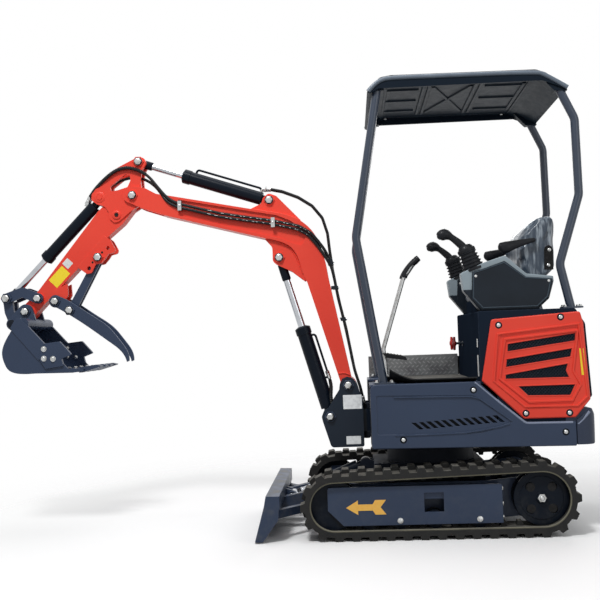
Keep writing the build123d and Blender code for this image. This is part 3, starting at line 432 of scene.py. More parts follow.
# new object from a bmesh, with its finishes and body
def piece(name, bm, finishes, body, sharp=38):
    mesh = bpy.data.meshes.new(name)
    bmesh.ops.recalc_face_normals(bm, faces=bm.faces)
    bm.to_mesh(mesh)
    bm.free()
    for finish in finishes:
        mesh.materials.append(finish.material)
    mesh.polygons.foreach_set("use_smooth", [True] * len(mesh.polygons))
    mesh.set_sharp_from_angle(angle=math.radians(sharp))
    obj = bpy.data.objects.new(name, mesh)
    scene.collection.objects.link(obj)
    if body:
        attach(obj, body)
    return obj


# skin over rings of points, capped at both ends unless the last ring joins the first
def skin(bm, rings, index=0, closed=False):
    made = [] if closed else [bm.faces.new(rings[0][::-1]), bm.faces.new(rings[-1])]
    for low, high in zip(rings, rings[1:] + (rings[:1] if closed else [])):
        for i in range(len(low)):
            j = (i + 1) % len(low)
            made.append(bm.faces.new((low[i], low[j], high[j], high[i])))
    for face in made:
        face.material_index = index


# turned form: rings of (radius, height) in mm about an axis, 6 sides make a hexagon
def turned(bm, profile, origin, axis, sides=24, index=0, hollow=False):
    turn = Vector(axis).to_track_quat("Z", "Y").to_matrix()
    rings = []
    for radius, height in profile:
        ring = []
        for i in range(sides):
            a = 2 * math.pi * i / sides
            spot = at(radius * math.cos(a), radius * math.sin(a), height)
            ring.append(bm.verts.new(origin + turn @ spot))
        rings.append(ring)
    skin(bm, rings, index, hollow)


# tube along points in metres, radius in mm, a number or a function of the length so far
def swept(bm, path, radius, sides=12):
    side = None
    rings = []
    done = 0.0
    for i, spot in enumerate(path):
        way = (path[min(i + 1, len(path) - 1)] - path[max(i - 1, 0)]).normalized()
        if side is None:
            side = way.orthogonal().normalized()
        side = (side - way * side.dot(way)).normalized()
        if i:
            done += (spot - path[i - 1]).length
        r = radius(done * 1000) if callable(radius) else radius
        other = way.cross(side)
        ring = []
        for k in range(sides):
            a = 2 * math.pi * k / sides
            ring.append(bm.verts.new(spot + (side * math.cos(a) + other * math.sin(a)) * r * 0.001))
        rings.append(ring)
    skin(bm, rings)


# smooth line through a route's points
def smoothLine(points, steps=10):
    curve = bpy.data.curves.new("route", "CURVE")
    curve.dimensions = "3D"
    line = curve.splines.new("NURBS")
    line.points.add(len(points) - 1)
    for knot, spot in zip(line.points, points):
        knot.co = (*spot, 1)
    line.order_u = 3
    line.use_endpoint_u = True
    line.resolution_u = steps
    holder = bpy.data.objects.new("route", curve)
    mesh = bpy.data.meshes.new_from_object(holder)
    spots = [v.co.copy() for v in mesh.vertices]
    bpy.data.objects.remove(holder)
    bpy.data.curves.remove(curve)
    bpy.data.meshes.remove(mesh)
    return spots


# plate with a side outline of (x, z) in mm between two y
def plate(bm, outline, y0, y1, index=0):
    near = [bm.verts.new(at(x, y1, z)) for x, z in outline]
    far = [bm.verts.new(at(x, y0, z)) for x, z in outline]
    made = [bm.faces.new(near), bm.faces.new(far[::-1])]
    for i in range(len(outline)):
        j = (i + 1) % len(outline)
        made.append(bm.faces.new((near[j], near[i], far[i], far[j])))
    for face in made:
        face.material_index = index


# plate on one side of the machine, between two distances from its middle
def sidePlate(bm, outline, out, inner, outer, index=0):
    y0, y1 = sorted((out * inner, out * outer))
    plate(bm, outline, y0, y1, index)


# outline of a rectangle
def corners(x0, z0, x1, z1):
    return [(x0, z0), (x1, z0), (x1, z1), (x0, z1)]


# raised bead along a line of (u, v), set on a face by lift(u, v, height), all in mm
def ridge(bm, line, lift, width, high, closed=False):
    count = len(line)
    rows = []
    for i, (u, v) in enumerate(line):
        here = Vector((u, v))
        before = Vector(line[i - 1]) if closed or i else here
        after = Vector(line[(i + 1) % count]) if closed or i < count - 1 else here
        way = ((here - before).normalized() + (after - here).normalized()).normalized()
        first = (here - before if here != before else after - here).normalized()
        across = Vector((-way.y, way.x)) / max(way.dot(first), 0.4)
        row = []
        for share, lifted in ((-1, -0.5), (-0.92, 0.35), (-0.55, 1), (0.55, 1), (0.92, 0.35), (1, -0.5)):
            spot = here + across * width * share
            row.append(bm.verts.new(lift(spot.x, spot.y, high * lifted)))
        rows.append(row)
    skin(bm, rows, 0, closed)


# lift for a ridge on a side face, y mm from the machine's middle
def sideFace(out, y):
    return lambda u, v, h: at(u, out * (y + h), v)


# hose along a route in mm, wrapped in a ribbed guard over some of its length, with crimped ends
def hoseRun(bm, points, radius, guard=None, crimps=(True, True)):
    path = smoothLine([at(*p) for p in points], 26 if guard else 12)

    def wall(done):
        if guard and guard[0] < done < guard[1]:
            return radius + 1.5 + 1.1 * math.sin(done * 2 * math.pi / 9)
        return radius
    swept(bm, path, wall)
    ferrule = ((1, -2), (2.5, 0), (2.5, 8), (1.6, 10), (2.5, 12), (2.5, 26), (0.5, 28))
    nut = ((4, -16), (4.5, -15), (4.5, -3), (4, -2))
    for end, nextTo, wanted in ((path[0], path[2], crimps[0]), (path[-1], path[-3], crimps[1])):
        if wanted:
            turned(bm, [(radius + r, h) for r, h in ferrule], end, nextTo - end, 20, 1)
            turned(bm, [(radius + r, h) for r, h in nut], end, nextTo - end, 6, 1)


# narrow all points made since a count, about a y in mm
def narrowed(bm, first, y, share):
    middle = y * 0.001
    bm.verts.ensure_lookup_table()
    for v in bm.verts[first:]:
        v.co.y = middle + (v.co.y - middle) * share


# share of the way from low to high, held between 0 and 1
def between(value, low, high):
    return max(0.0, min(1.0, (value - low) / (high - low)))


bothSides = (1, -1)

# base pin and rod eye of each cylinder, x and z in mm
cylinders = {
    "blade": ((342, 312), (735, 150)), "boom": ((520, 567), (765, 1422)),
    "stick": ((809, 1734), (1515, 1974)), "bucket": ((1734, 1789), (2257, 1256)),
}


# both pins of a cylinder, on the machine's middle plane
def cylinderPins(name):
    return [at(x, 0, z) for x, z in cylinders[name]]


# pin ends: hexagon collar in the arm's own paint, a washer painted dark as painted shade under the head,
# zinc hexagon head on all but the bucket's
pinLook = {"collar": 30, "collarHigh": 9, "head": 22, "headHigh": 14, "headless": "bucketPins"}
linkPlaces = ((2083, 1250, 58.6), (2147, 1180, 74.6), (1988, 1231, 58))
pinPlaces = (
    ("postPins", "swing_post", slatePaint, "slate_paint", ((420, 729, 81), (520, 567, 81))),
    ("boomPins", "boom", redPaint, "red_paint", ((765, 1422, 41), (809, 1734, 41), (1549, 1789, 60))),
    ("stickPins", "stick", redPaint, "red_paint", ((1515, 1974, 45), (1752, 1463, 40))),
    ("linkPins", "stick", slatePaint, "slate_paint", linkPlaces),
    ("rockerPins", "rocker_links", slatePaint, "slate_paint", ((2257, 1256, 58.6),)),
    ("bucketPins", "bucket", slatePaint, "slate_paint", ((2222, 1116, 74.6),)),
    ("thumbPins", "stick", slatePaint, "slate_paint", ((1910, 1180, 58),)),
    ("bladePins", "blade", slatePaint, "slate_paint", ((735, 150, 41),)),
)
collar, rise = pinLook["collar"], pinLook["collarHigh"]
head, tall = pinLook["head"], pinLook["headHigh"]
pinCollar = ((collar, 0), (collar, rise - 2), (collar - 2, rise))
pinWasher = ((head + 1, -0.5), (head + 1, 1.5), (head, 2))
pinHead = ((head - 2, 2), (head - 2, tall - 4), (head - 6, tall - 1), (head - 9, tall))
pinStud = ((head - 11, tall - 0.4), (head - 11, tall + 1), (head - 13, tall + 1.4))
for name, body, paint, slot, places in pinPlaces:
    bm = bmesh.new()
    for x, z, face in places:
        for out in bothSides:
            axis = (0, out, 0)
            top = at(x, out * (face + rise), z)
            turned(bm, pinCollar, at(x, out * face, z), axis, 6)
            turned(bm, pinWasher, top, axis, 28, 2)
            if name != pinLook["headless"]:
                turned(bm, pinHead, top, axis, 6, 1)
                turned(bm, pinStud, top, axis, 20, 1)
    piece(name, bm, (paint, zinc, underShadePaint), body)

# small zinc screws on the panels and covers, each in a sunk seat painted black as painted shade of its
# recess
screwLook = {"seat": 17, "head": 9.5, "high": 6, "y": 430}
screwPlaces = ((-185, 706), (161, 475), (-616, 492), (-319, 1015), (-616, 1044), (-431, 586), (-638, 583))
seat, head, high = screwLook["seat"], screwLook["head"], screwLook["high"]
screwSeat = ((seat, -2), (seat, 0.4), (seat - 1.5, 1.2), (head + 1, 0.6))
screwHead = (
    (head, 0), (head, high * 0.5), (head * 0.75, high * 0.9), (head * 0.45, high), (head * 0.4, high - 2),
)
bm = bmesh.new()
for x, z in screwPlaces:
    for out in bothSides:
        face = at(x, out * screwLook["y"], z)
        # the seat: painted shade round the head
        turned(bm, screwSeat, face, (0, out, 0), 28)
        turned(bm, screwHead, face, (0, out, 0), 20, 1)
piece("panelScrews", bm, (blackPaint, zinc), "house")

# pale screws on both faces of each console
consoleScrew = {"places": ((-232, 1262), (-588, 1226)), "outer": 345, "inner": 262}
bm = bmesh.new()
for x, z in consoleScrew["places"]:
    for out in bothSides:
        for y, way in ((consoleScrew["outer"], out), (consoleScrew["inner"], -out)):
            face = at(x, out * y, z)
            turned(bm, ((6.5, -1), (6.5, 1), (4.5, 2.4), (1.2, 2.8)), face, (0, way, 0), 18)
piece("consoleScrews", bm, (stickerWhite,), "house")

# roller bolts and guard end bolts on the track frames
trackBolt = {
    "rollerX": (191, -190), "rollerY": 435, "rollerZ": 89, "endX": -301, "endY": 402, "endZ": (90, 155, 228),
}
bm = bmesh.new()
for x in trackBolt["rollerX"]:
    for out in bothSides:
        face = at(x, out * trackBolt["rollerY"], trackBolt["rollerZ"])
        turned(bm, ((14, 0), (14, 2.5), (13, 3)), face, (0, out, 0), 24)
        turned(bm, ((11, 3), (11, 9), (8, 11), (5, 11)), face, (0, out, 0), 6)
for z in trackBolt["endZ"]:
    for out in bothSides:
        face = at(trackBolt["endX"], out * trackBolt["endY"], z)
        turned(bm, ((10, 0), (10, 8), (8, 10)), face, (-1, 0, 0), 6)
piece("trackBolts", bm, (zinc,), "undercarriage")

# sprocket hub: holes in the wheel painted black as painted shade, a bright nut on its shaft
wheel = {"x": -489, "z": 180, "face": 421, "holes": 72, "holeRadius": 21}
wheelHole = ((wheel["holeRadius"], -2), (wheel["holeRadius"], 0.6), (wheel["holeRadius"] - 1, 0.9))
bm = bmesh.new()
for out in bothSides:
    hub = at(wheel["x"], out * wheel["face"], wheel["z"])
    for i in range(4):
        a = math.radians(45 + 90 * i)
        spot = hub + at(wheel["holes"] * math.cos(a), 0, wheel["holes"] * math.sin(a))
        turned(bm, wheelHole, spot, (0, out, 0), 28, 1)
    turned(bm, ((29, -2), (29, 2), (27, 4), (24, 4)), hub, (0, out, 0), 32, 2)
    turned(bm, ((23, 2), (23, 13), (19, 16), (14, 16)), hub, (0, out, 0), 6)
    turned(bm, ((11, 15), (11, 20), (8, 23), (2, 23)), hub, (0, out, 0), 24)
piece("sprocketHubs", bm, (zinc, recessShade, blackPaint), "undercarriage")

# dusty inner lip of each track belt, round both wheels, each given as x, z and radius
belt = {"rear": (-489, 180, 132), "front": (507, 165, 117), "y": 459, "radius": 4.5, "steps": 24}
rearX, rearZ, rearR = belt["rear"]
frontX, frontZ, frontR = belt["front"]
slope = math.atan2(frontZ - rearZ, frontX - rearX)
wrap = math.acos((rearR - frontR) / math.hypot(frontX - rearX, frontZ - rearZ))
arcs = ((belt["front"], slope - wrap, 2 * wrap), (belt["rear"], slope + wrap, 2 * math.pi - 2 * wrap))
loop = []
for (x, z, r), start, sweep in arcs:
    for i in range(belt["steps"] + 1):
        a = start + sweep * i / belt["steps"]
        loop.append((x + r * math.cos(a), z + r * math.sin(a)))
loop.append(loop[0])
bm = bmesh.new()
for out in bothSides:
    swept(bm, [at(x, out * belt["y"], z) for x, z in loop], belt["radius"], 10)
piece("beltLips", bm, (rimRubber,), "undercarriage")

# travel arrow on each guard
arrow = {
    "tip": 451, "z": 156, "head": 58, "long": 194, "half": 35, "stem": 15, "flare": 129, "fork": 141,
    "notch": 167, "inner": 434.9, "outer": 435.5,
}
upper = [
    (0, 0), (arrow["head"], arrow["half"]), (arrow["head"], arrow["stem"]), (arrow["flare"], arrow["stem"]),
    (arrow["fork"], arrow["half"]), (arrow["long"], arrow["half"]), (arrow["notch"], 0),
]
lower = [(x, -z) for x, z in upper[-2:0:-1]]
outline = [(arrow["tip"] - x, arrow["z"] + z) for x, z in upper + lower]
bm = bmesh.new()
for out in bothSides:
    sidePlate(bm, outline, out, arrow["inner"], arrow["outer"])
piece("guardArrows", bm, (arrowYellow,), "undercarriage")

# two plates on the swing post, the upper one riveted at its corners
postPlates = {"lower": (364, 420, 440, 462), "upper": (352, 604, 450, 678), "rivets": (358, 610, 444, 672)}
bm = bmesh.new()
plate(bm, corners(*postPlates["lower"]), 80.9, 81.6)
plate(bm, corners(*postPlates["upper"]), 80.9, 81.9)
for x, z in corners(*postPlates["rivets"]):
    turned(bm, ((2.6, 0), (2.6, 0.8), (1.4, 1.6)), at(x, 81.9, z), (0, 1, 0), 12)
piece("postPlate", bm, (namePlate,), "swing_post")

# stickers on both sides of the stick, by length along it and height across it
stickers = {"white": (492, -4, 534, 40), "yellow": (544, -30, 650, 33), "inner": 36.8, "outer": 37.5}
stickStart = Vector((1549, 1789))
stickWay = (Vector((2147, 1180)) - stickStart).normalized()


# point along the stick and across it, in mm
def onStick(u, v):
    spot = stickStart + stickWay * u + Vector((-stickWay.y, stickWay.x)) * v
    return (spot.x, spot.y)


bm = bmesh.new()
for out in bothSides:
    for index, colour in enumerate(("white", "yellow")):
        outline = [onStick(u, v) for u, v in corners(*stickers[colour])]
        sidePlate(bm, outline, out, stickers["inner"], stickers["outer"], index)
piece("stickStickers", bm, (stickerWhite, stickerYellow), "stick")
print("bolts, plates and arrow placed")

# joysticks: oval ribbed bellows, collar and a thick leaning grip with a bulb end
joystick = {
    "y": 303, "foot": (-228, 1306), "head": (-199, 1388), "button": (-92, 1502),
    "folds": 5, "footRadius": 54, "topRadius": 44, "ridge": 7, "narrow": 0.74,
    "grip": ((-190, 1404), (-176, 1420), (-150, 1444), (-120, 1468), (-96, 1480), (-78, 1478), (-64, 1466)),
    "collar": ((38, -4), (45, -1), (46, 4), (45, 14), (38, 19), (36, 24), (30, 32), (20, 36)),
}


# half thickness of a grip at a length along it, in mm
def gripRadius(done):
    bulb = 9 * max(0.0, math.sin((done - 92) / 74 * math.pi)) if 92 < done < 166 else 0
    return 18.5 + 1.5 * math.sin(done * 0.055) + bulb - 10 * max(0.0, (done - 150) / 30)


bm = bmesh.new()
wide, folds, deep = joystick["footRadius"], joystick["folds"], joystick["ridge"]
for y in (joystick["y"], -joystick["y"]):
    first = len(bm.verts)
    foot, head, button = (at(joystick[k][0], y, joystick[k][1]) for k in ("foot", "head", "button"))
    lean = head - foot
    step = lean.length * 1000 / folds
    rings = [(wide + 3, -12), (wide + 3, 0)]
    for i in range(folds):
        r = wide + (joystick["topRadius"] - wide) * i / folds
        rings += [(r - deep, (i + 0.05) * step), (r - deep, (i + 0.35) * step)]
        rings += [(r, (i + 0.55) * step), (r, (i + 0.8) * step)]
    turned(bm, rings, foot, lean, 36)
    turned(bm, joystick["collar"], head, lean, 36)
    narrowed(bm, first, y, joystick["narrow"])
    grip = smoothLine([at(x, y, z) for x, z in joystick["grip"]], 12)
    swept(bm, grip, gripRadius, 24)
    turned(bm, ((gripRadius(165), -2), (13, 4), (7, 8), (2, 9)), grip[-1], grip[-1] - grip[-3], 24)
    turned(bm, ((6, 0), (6, 5), (4, 6.5)), button, (0.5, 0, 1), 16)
sticks = piece("joystickGrips", bm, (gripPlastic,), "house")
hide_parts("joysticks")

# armrests: fat rounded pads that taper to their pins
armrest = {
    "y": 242, "narrow": 0.66, "pin": (-546, 209, 1441),
    "route": ((-366, 1399), (-380, 1405), (-402, 1408), (-432, 1417), (-480, 1429), (-548, 1442)),
}


# half thickness of an armrest at a length along it, in mm
def armRadius(done):
    return 29.5 * min(1.0, (max(done, 0.4) / 16) ** 0.5) - 19 * max(0.0, (done - 45) / 140) ** 0.8


bm = bmesh.new()
pinX, pinY, pinZ = armrest["pin"]
for out in bothSides:
    first = len(bm.verts)
    y = out * armrest["y"]
    swept(bm, smoothLine([at(x, y, z) for x, z in armrest["route"]], 14), armRadius, 24)
    narrowed(bm, first, y, armrest["narrow"])
    turned(bm, ((10, 0), (10, 30)), at(pinX, out * pinY, pinZ), (0, out, 0), 24)
pads = piece("armPads", bm, (gripPlastic,), "house", 60)
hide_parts("armrests")

# black sleeves on the travel levers
sleeve = {"y": 70, "radius": 17.2, "route": ((106, 1286), (100, 1305), (78, 1338), (52, 1366), (24, 1387))}
bm = bmesh.new()
for y in (sleeve["y"], -sleeve["y"]):
    line = smoothLine([at(x, y, z) for x, z in sleeve["route"]], 8)
    swept(bm, line, lambda done: sleeve["radius"] + 0.7 * math.sin(done * 0.75), 20)
piece("leverSleeves", bm, (gripPlastic,), "house")

# a red and a dark red pull knob on the box front
knobs = {"places": (-322, -190), "z": 926, "faceX": -223, "handleX": -174}
knobShaft = ((13, 0), (13, 5), (6, 7), (6, 44), (5, 46))
knobHandle = ((4, -37), (7, -34), (8, -14), (12, -8), (12, 8), (8, 14), (7, 34), (4, 37))
bm = bmesh.new()
for paint, y in enumerate(knobs["places"]):
    turned(bm, knobShaft, at(knobs["faceX"], y, knobs["z"]), (1, 0, 0), 20, 2)
    turned(bm, knobHandle, at(knobs["handleX"], y, knobs["z"]), (0, 0, 1), 20, paint)
piece("pullKnobs", bm, (knobRed, knobDark, blackPlastic), "house")

# white stickers on the box front, each from y, z to y, z
boxStickers = ((346, 768, 380, 872), (352, 910, 374, 952))
bm = bmesh.new()
for y0, z0, y1, z1 in boxStickers:
    plate(bm, corners(-224, z0, -221.6, z1), y0, y1)
piece("boxLabels", bm, (stickerWhite,), "house")
print("controls made")


# the mesh that the modifiers give, with the modifiers gone
def keepEvaluated(obj):
    graph = bpy.context.evaluated_depsgraph_get()
    mesh = bpy.data.meshes.new_from_object(obj.evaluated_get(graph))
    obj.modifiers.clear()
    obj.data = mesh


# padded seat pieces: the plain solid, remeshed and swollen as cloth
def plump(name, node, look):
    mesh = nodes[node].data.copy()
    mesh.materials.clear()
    mesh.materials.append(seatFilm.material)
    obj = bpy.data.objects.new(name, mesh)
    scene.collection.objects.link(obj)
    low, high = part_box(node)
    middle = (low + high) / 2
    room = look["room"] * 0.001
    shrink = [1 - 2 * room / max(high[i] - low[i], 0.01) for i in range(3)]
    for v in mesh.vertices:
        v.co = middle + Vector([(v.co[i] - middle[i]) * shrink[i] for i in range(3)])
    remesh = obj.modifiers.new("remesh", "REMESH")
    remesh.mode = "VOXEL"
    remesh.voxel_size = look["voxel"] * 0.001
    keepEvaluated(obj)
    start = [v.co.copy() for v in obj.data.vertices]
    cloth = obj.modifiers.new("cloth", "CLOTH")
    cloth.settings.use_pressure = True
    cloth.settings.uniform_pressure_force = look["pressure"]
    cloth.settings.effector_weights.gravity = 0
    for step in range(1, look["frames"] + 1):
        scene.frame_set(step)
    keepEvaluated(obj)
    cap = look["cap"] * 0.001
    for v, old in zip(obj.data.vertices, start):
        move = v.co - old
        v.co = old + move * min(1.0, cap / max(move.length, 1e-9))
        for i in range(3):
            v.co[i] = min(max(v.co[i], low[i]), high[i])
    scene.frame_set(1)
    obj.data.polygons.foreach_set("use_smooth", [True] * len(obj.data.polygons))
    smooth = obj.modifiers.new("smooth", "SMOOTH")
    smooth.iterations = 4
    finer = obj.modifiers.new("finer", "SUBSURF")
    finer.levels = finer.render_levels = 1
    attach(obj, "house")
    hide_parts(node)


seatPads = {"room": 6, "voxel": 6, "pressure": 4, "frames": 20, "cap": 14, "fill": 0.7}
plump("seatCushion", "seat_cushion", seatPads)
plump("seatBack", "seat_back", seatPads)
print("seat padded")

# floor mat: ribbed sheet whose left edge curls up towards the front, all in mm
mat = {
    "ribs": 22, "rise": 2.0, "thick": 3.5, "left": 405, "columns": 120, "rows": 90,
    "notchX": 213, "notchY": 300, "curlX": (90, 220), "curlY": (200, 390), "curl": 74,
    "lipY": (330, 380), "lip": 17,
}
matLow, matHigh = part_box("floor_mat")
bm = bmesh.new()
grid = []
for i in range(mat["columns"] + 1):
    row = []
    for j in range(mat["rows"] + 1):
        y = matLow.y + (mat["left"] * 0.001 - matLow.y) * j / mat["rows"]
        end = min(matHigh.x, mat["notchX"] * 0.001) if y > mat["notchY"] * 0.001 else matHigh.x
        x = matLow.x + (end - matLow.x) * i / mat["columns"]
        rib = max(0.0, math.cos(2 * math.pi * j * mat["ribs"] / mat["rows"])) * mat["rise"]
        row.append(bm.verts.new((x, y, matLow.z + (mat["thick"] + rib) * 0.001)))
    grid.append(row)
for low, high in zip(grid, grid[1:]):
    for j in range(mat["rows"]):
        bm.faces.new((low[j], high[j], high[j + 1], low[j + 1]))
made = bmesh.ops.extrude_face_region(bm, geom=bm.faces[:])
for v in made["geom"]:
    if isinstance(v, bmesh.types.BMVert):
        v.co.z = matLow.z
for v in bm.verts:
    x, y = v.co.x * 1000, v.co.y * 1000
    curl = between(x, *mat["curlX"]) ** 1.6 * between(y, *mat["curlY"]) ** 1.4
    lip = between(y, *mat["lipY"]) ** 2 * (1 - curl)
    v.co.z += (mat["curl"] * curl + mat["lip"] * lip) * 0.001
ribbed = piece("ribbedMat", bm, (matRubber,), "house", 60)
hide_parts("floor_mat")

# raised lozenges on the kick plate, in an alloy brighter than the plate's: a painted glint
studs = {"columns": 19, "rows": 5, "x": -190, "z": 758, "pitchX": 26, "pitchZ": 21, "endX": 296, "lean": 0.7}
lozenge = ((-11, 0), (-5, 3), (5, 3), (11, 0), (5, -3), (-5, -3))
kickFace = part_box("kick_plate")[1].y * 1000
bm = bmesh.new()
for i in range(studs["columns"]):
    for j in range(studs["rows"]):
        x = studs["x"] + i * studs["pitchX"] + (studs["pitchX"] / 2 if j % 2 else 0)
        z = studs["z"] + j * studs["pitchZ"]
        lean = studs["lean"] if j % 2 else -studs["lean"]
        across, up = math.cos(lean), math.sin(lean)
        outline = [(u * across - v * up + x, u * up + v * across + z) for u, v in lozenge]
        if max(p[0] for p in outline) < studs["endX"]:
            plate(bm, outline, kickFace - 0.5, kickFace + 2.4)
piece("checkerStuds", bm, (alloy,), "house")

# rubber seal between the kick plate and the box
bm = bmesh.new()
plate(bm, corners(-226, 746, -200, 852), -417, kickFace - 1.5)
piece("cornerSeal", bm, (matRubber,), "house")
print("floor dressed")

# hoses over the stick joint: the near one over the cheek, the other in between the cheeks
hoseRadius = 8.0
stickHoses = {
    "near": (
        (1292, 68, 1730), (1330, 69, 1746), (1368, 68, 1776), (1415, 65, 1835), (1457, 62, 1890),
        (1515, 60, 1928), (1580, 58, 1944), (1640, 57, 1930), (1696, 54, 1890), (1740, 44, 1852),
        (1774, 26, 1822), (1796, 14, 1796),
    ),
    "inner": (
        (1296, 68, 1712), (1340, 68, 1730), (1378, 62, 1768), (1412, 40, 1822), (1470, 12, 1874),
        (1540, 0, 1900), (1610, -4, 1890), (1680, -10, 1862), (1738, -14, 1842), (1768, -14, 1825),
        (1786, -14, 1807),
    ),
}
for name, guard in (("near", (250, 640)), ("inner", (420, 640))):
    bm = bmesh.new()
    hoseRun(bm, stickHoses[name], hoseRadius, guard, (False, False))
    obj = piece(name + "StickHose", bm, (hoseRubber, zinc), None)
    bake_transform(obj)

# crimped fittings on the bucket cylinder, into which the two hoses run
crimpNut = ((9, 0), (9, 10), (12, 11), (12.5, 12), (12.5, 22), (12, 23))
crimpSleeve = ((9.5, 23), (10.8, 24), (10.8, 33), (9.9, 35), (10.8, 37), (10.8, 52), (9, 54))
bm = bmesh.new()
for y in (14, -14):
    port, mouth = at(1820, y * 0.7, 1748), at(1797, y, 1795)
    turned(bm, crimpNut, port, mouth - port, 6)
    turned(bm, crimpSleeve, port, mouth - port, 20)
piece("barrelCrimps", bm, (zinc,), "bucket_cylinder_barrel")

# the rest of the stick cylinder's rod, in the bore until the stick swings in
rodTail = ((17.4, 318), (17, 340), (12.5, 420), (9, 505))
bm = bmesh.new()
base, eye = cylinderPins("stick")
turned(bm, rodTail, eye, base - eye, 32)
piece("stickRodTail", bm, (chrome,), "stick_cylinder_rod")

# the side pair carried round the boom's shoulder, then down beside the rear pair to the foot
shoulderRoutes = {
    27: ((560, 68, 1508), (546, 68, 1490), (526, 67, 1462), (509, 58, 1432), (496, 38, 1398)),
    45: ((575, 68, 1501), (562, 68, 1484), (542, 69, 1454), (519, 68, 1418), (500, 56, 1384)),
}
rearRoute = ((482, 1350), (456, 1190), (421, 1030), (391, 850))
bm = bmesh.new()
for y, lead in shoulderRoutes.items():
    route = [at(*p) for p in lead] + [at(x, y, z) for x, z in rearRoute]
    swept(bm, smoothLine(route, 12), hoseRadius)
piece("shoulderHoses", bm, (hoseRubber,), "boom")

# clamps over the four hoses on the boom's rear edge, by x, z and half height
rearClamps = ((470, 1250, 9), (491, 1388, 16), (433, 1080, 9))
bm = bmesh.new()
for x, z, half in rearClamps:
    outline = [(x - 17, z - half), (x + 13, z - half - 2), (x + 19, z + half - 2), (x - 11, z + half)]
    plate(bm, outline, -20, 57)
    turned(bm, ((6, 0), (6, 5), (4, 6)), at(x - 14, 18, z), (-1, 0, 0), 6, 1)
piece("rearClamps", bm, (blackPlastic, zinc), "boom")

# hoses from the boom's rear edge down between the post plates
footRoute = ((397, 880), (391, 850), (383, 805), (370, 760), (356, 712), (347, 668), (343, 640))
bm = bmesh.new()
for y in (45, 27, 9, -9):
    hoseRun(bm, [(x, y, z) for x, z in footRoute], hoseRadius, None, (False, True))
obj = piece("footHoses", bm, (hoseRubber, zinc), None)
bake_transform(obj)

# guarded hose from the boom cylinder's pipe into the post
cylinderRoute = (
    (527, 0, 790), (519, 0, 764), (513, 6, 735), (512, 30, 705), (515, 46, 672), (510, 48, 630),
    (495, 46, 590), (470, 42, 560), (440, 38, 545),
)
bm = bmesh.new()
hoseRun(bm, cylinderRoute, hoseRadius, (34, 260))
obj = piece("boomCylinderHose", bm, (hoseRubber, zinc), None)
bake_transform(obj)

# zinc elbows from the stick cylinder's ports to the hoses on the boom
bm = bmesh.new()
for y, z in ((9, 1800), (-9, 1796)):
    route = ((800, y, 1797), (826, y, z + 2), (848, y, z), (858, y * 0.6, z - 18), (862, 0, 1764))
    elbow = smoothLine([at(*p) for p in route])
    way = elbow[3] - elbow[0]
    swept(bm, elbow, 6.5, 14)
    turned(bm, ((9, 0), (10.5, 1), (10.5, 24), (9, 26)), elbow[0], way, 18)
    turned(bm, ((12, 26), (12.5, 27), (12.5, 38), (12, 39)), elbow[0], way, 6)
obj = piece("stickCylinderElbows", bm, (zinc,), None)
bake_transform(obj)

# white dashes along the two hoses on the boom's side
sideHose = ((548, 1494), (590, 1545), (653, 1584), (795, 1619), (938, 1644), (1072, 1669), (1302, 1733))
bm = bmesh.new()
for drop, offset in ((0, 0.0), (18, 0.4)):
    line = smoothLine([at(x + 0.2 * drop, 75.2, z - drop) for x, z in sideHose], 40)
    for i in range(30, len(line) - 20, 6):
        if math.sin(i * 1.7 + offset * 9) > -0.35:
            swept(bm, line[i:i + 4], 1.5, 6)
piece("hoseMarks", bm, (stickerWhite,), "boom")

# pale clamp plates over the hose pairs
hoseClamp = {"places": ((790, 1608), (1290, 1719)), "half": 10, "halfHigh": 26, "inner": 77.5, "outer": 81}
half, tall = hoseClamp["half"], hoseClamp["halfHigh"]
bm = bmesh.new()
for x, z in hoseClamp["places"]:
    plate(bm, corners(x - half, z - tall, x + half, z + tall), hoseClamp["inner"], hoseClamp["outer"])
    turned(bm, ((6, 0), (6, 4), (4, 5)), at(x, hoseClamp["outer"], z), (0, 1, 0), 6)
piece("hoseClamps", bm, (zinc,), "boom")
print("hoses laid")

# engine covers: pressed beads given as line, width, height and face, and a rim round each vent
coverBeads = (
    ([(-346, 945), (-694, 976), (-664, 784), (-698, 716), (-654, 642), (-447, 640), (-312, 757)], 6, 7, 426),
    ([(-312, 971), (-700, 1008), (-727, 660), (-677, 616), (-427, 618), (-285, 745)], 5, 5.5, 430),
)
ventShapes = (
    [(-360, 924), (-684, 966), (-680, 926), (-357, 884)],
    [(-352, 850), (-664, 893), (-655, 850), (-347, 809)],
    [(-344, 776), (-642, 820), (-631, 785), (-645, 752), (-343, 752)],
    [(-400, 718), (-672, 719), (-646, 666), (-447, 670)],
)
bm = bmesh.new()
for out in bothSides:
    for line, width, high, face in coverBeads:
        ridge(bm, line, sideFace(out, face), width, high, True)
    for shape in ventShapes:
        middle = Vector((sum(x for x, z in shape), sum(z for x, z in shape))) / len(shape)
        rimLine = [tuple(Vector(p) + (Vector(p) - middle).normalized() * 5) for p in shape]
        ridge(bm, rimLine, sideFace(out, 426), 3.0, 2.0, True)
piece("coverBeads", bm, (redPaint,), "house")


# spans of a straight line that lie inside an outline
def spansInside(shape, start, way):
    hits = []
    for a, b in zip(shape, shape[1:] + shape[:1]):
        a, b = Vector(a), Vector(b)
        edge = b - a
        cross = way.x * edge.y - way.y * edge.x
        if abs(cross) < 1e-6:
            continue
        gap = a - start
        along = (gap.x * edge.y - gap.y * edge.x) / cross
        share = (gap.x * way.y - gap.y * way.x) / cross
        if 0 <= share < 1:
            hits.append(along)
    hits.sort()
    return list(zip(hits[::2], hits[1::2]))


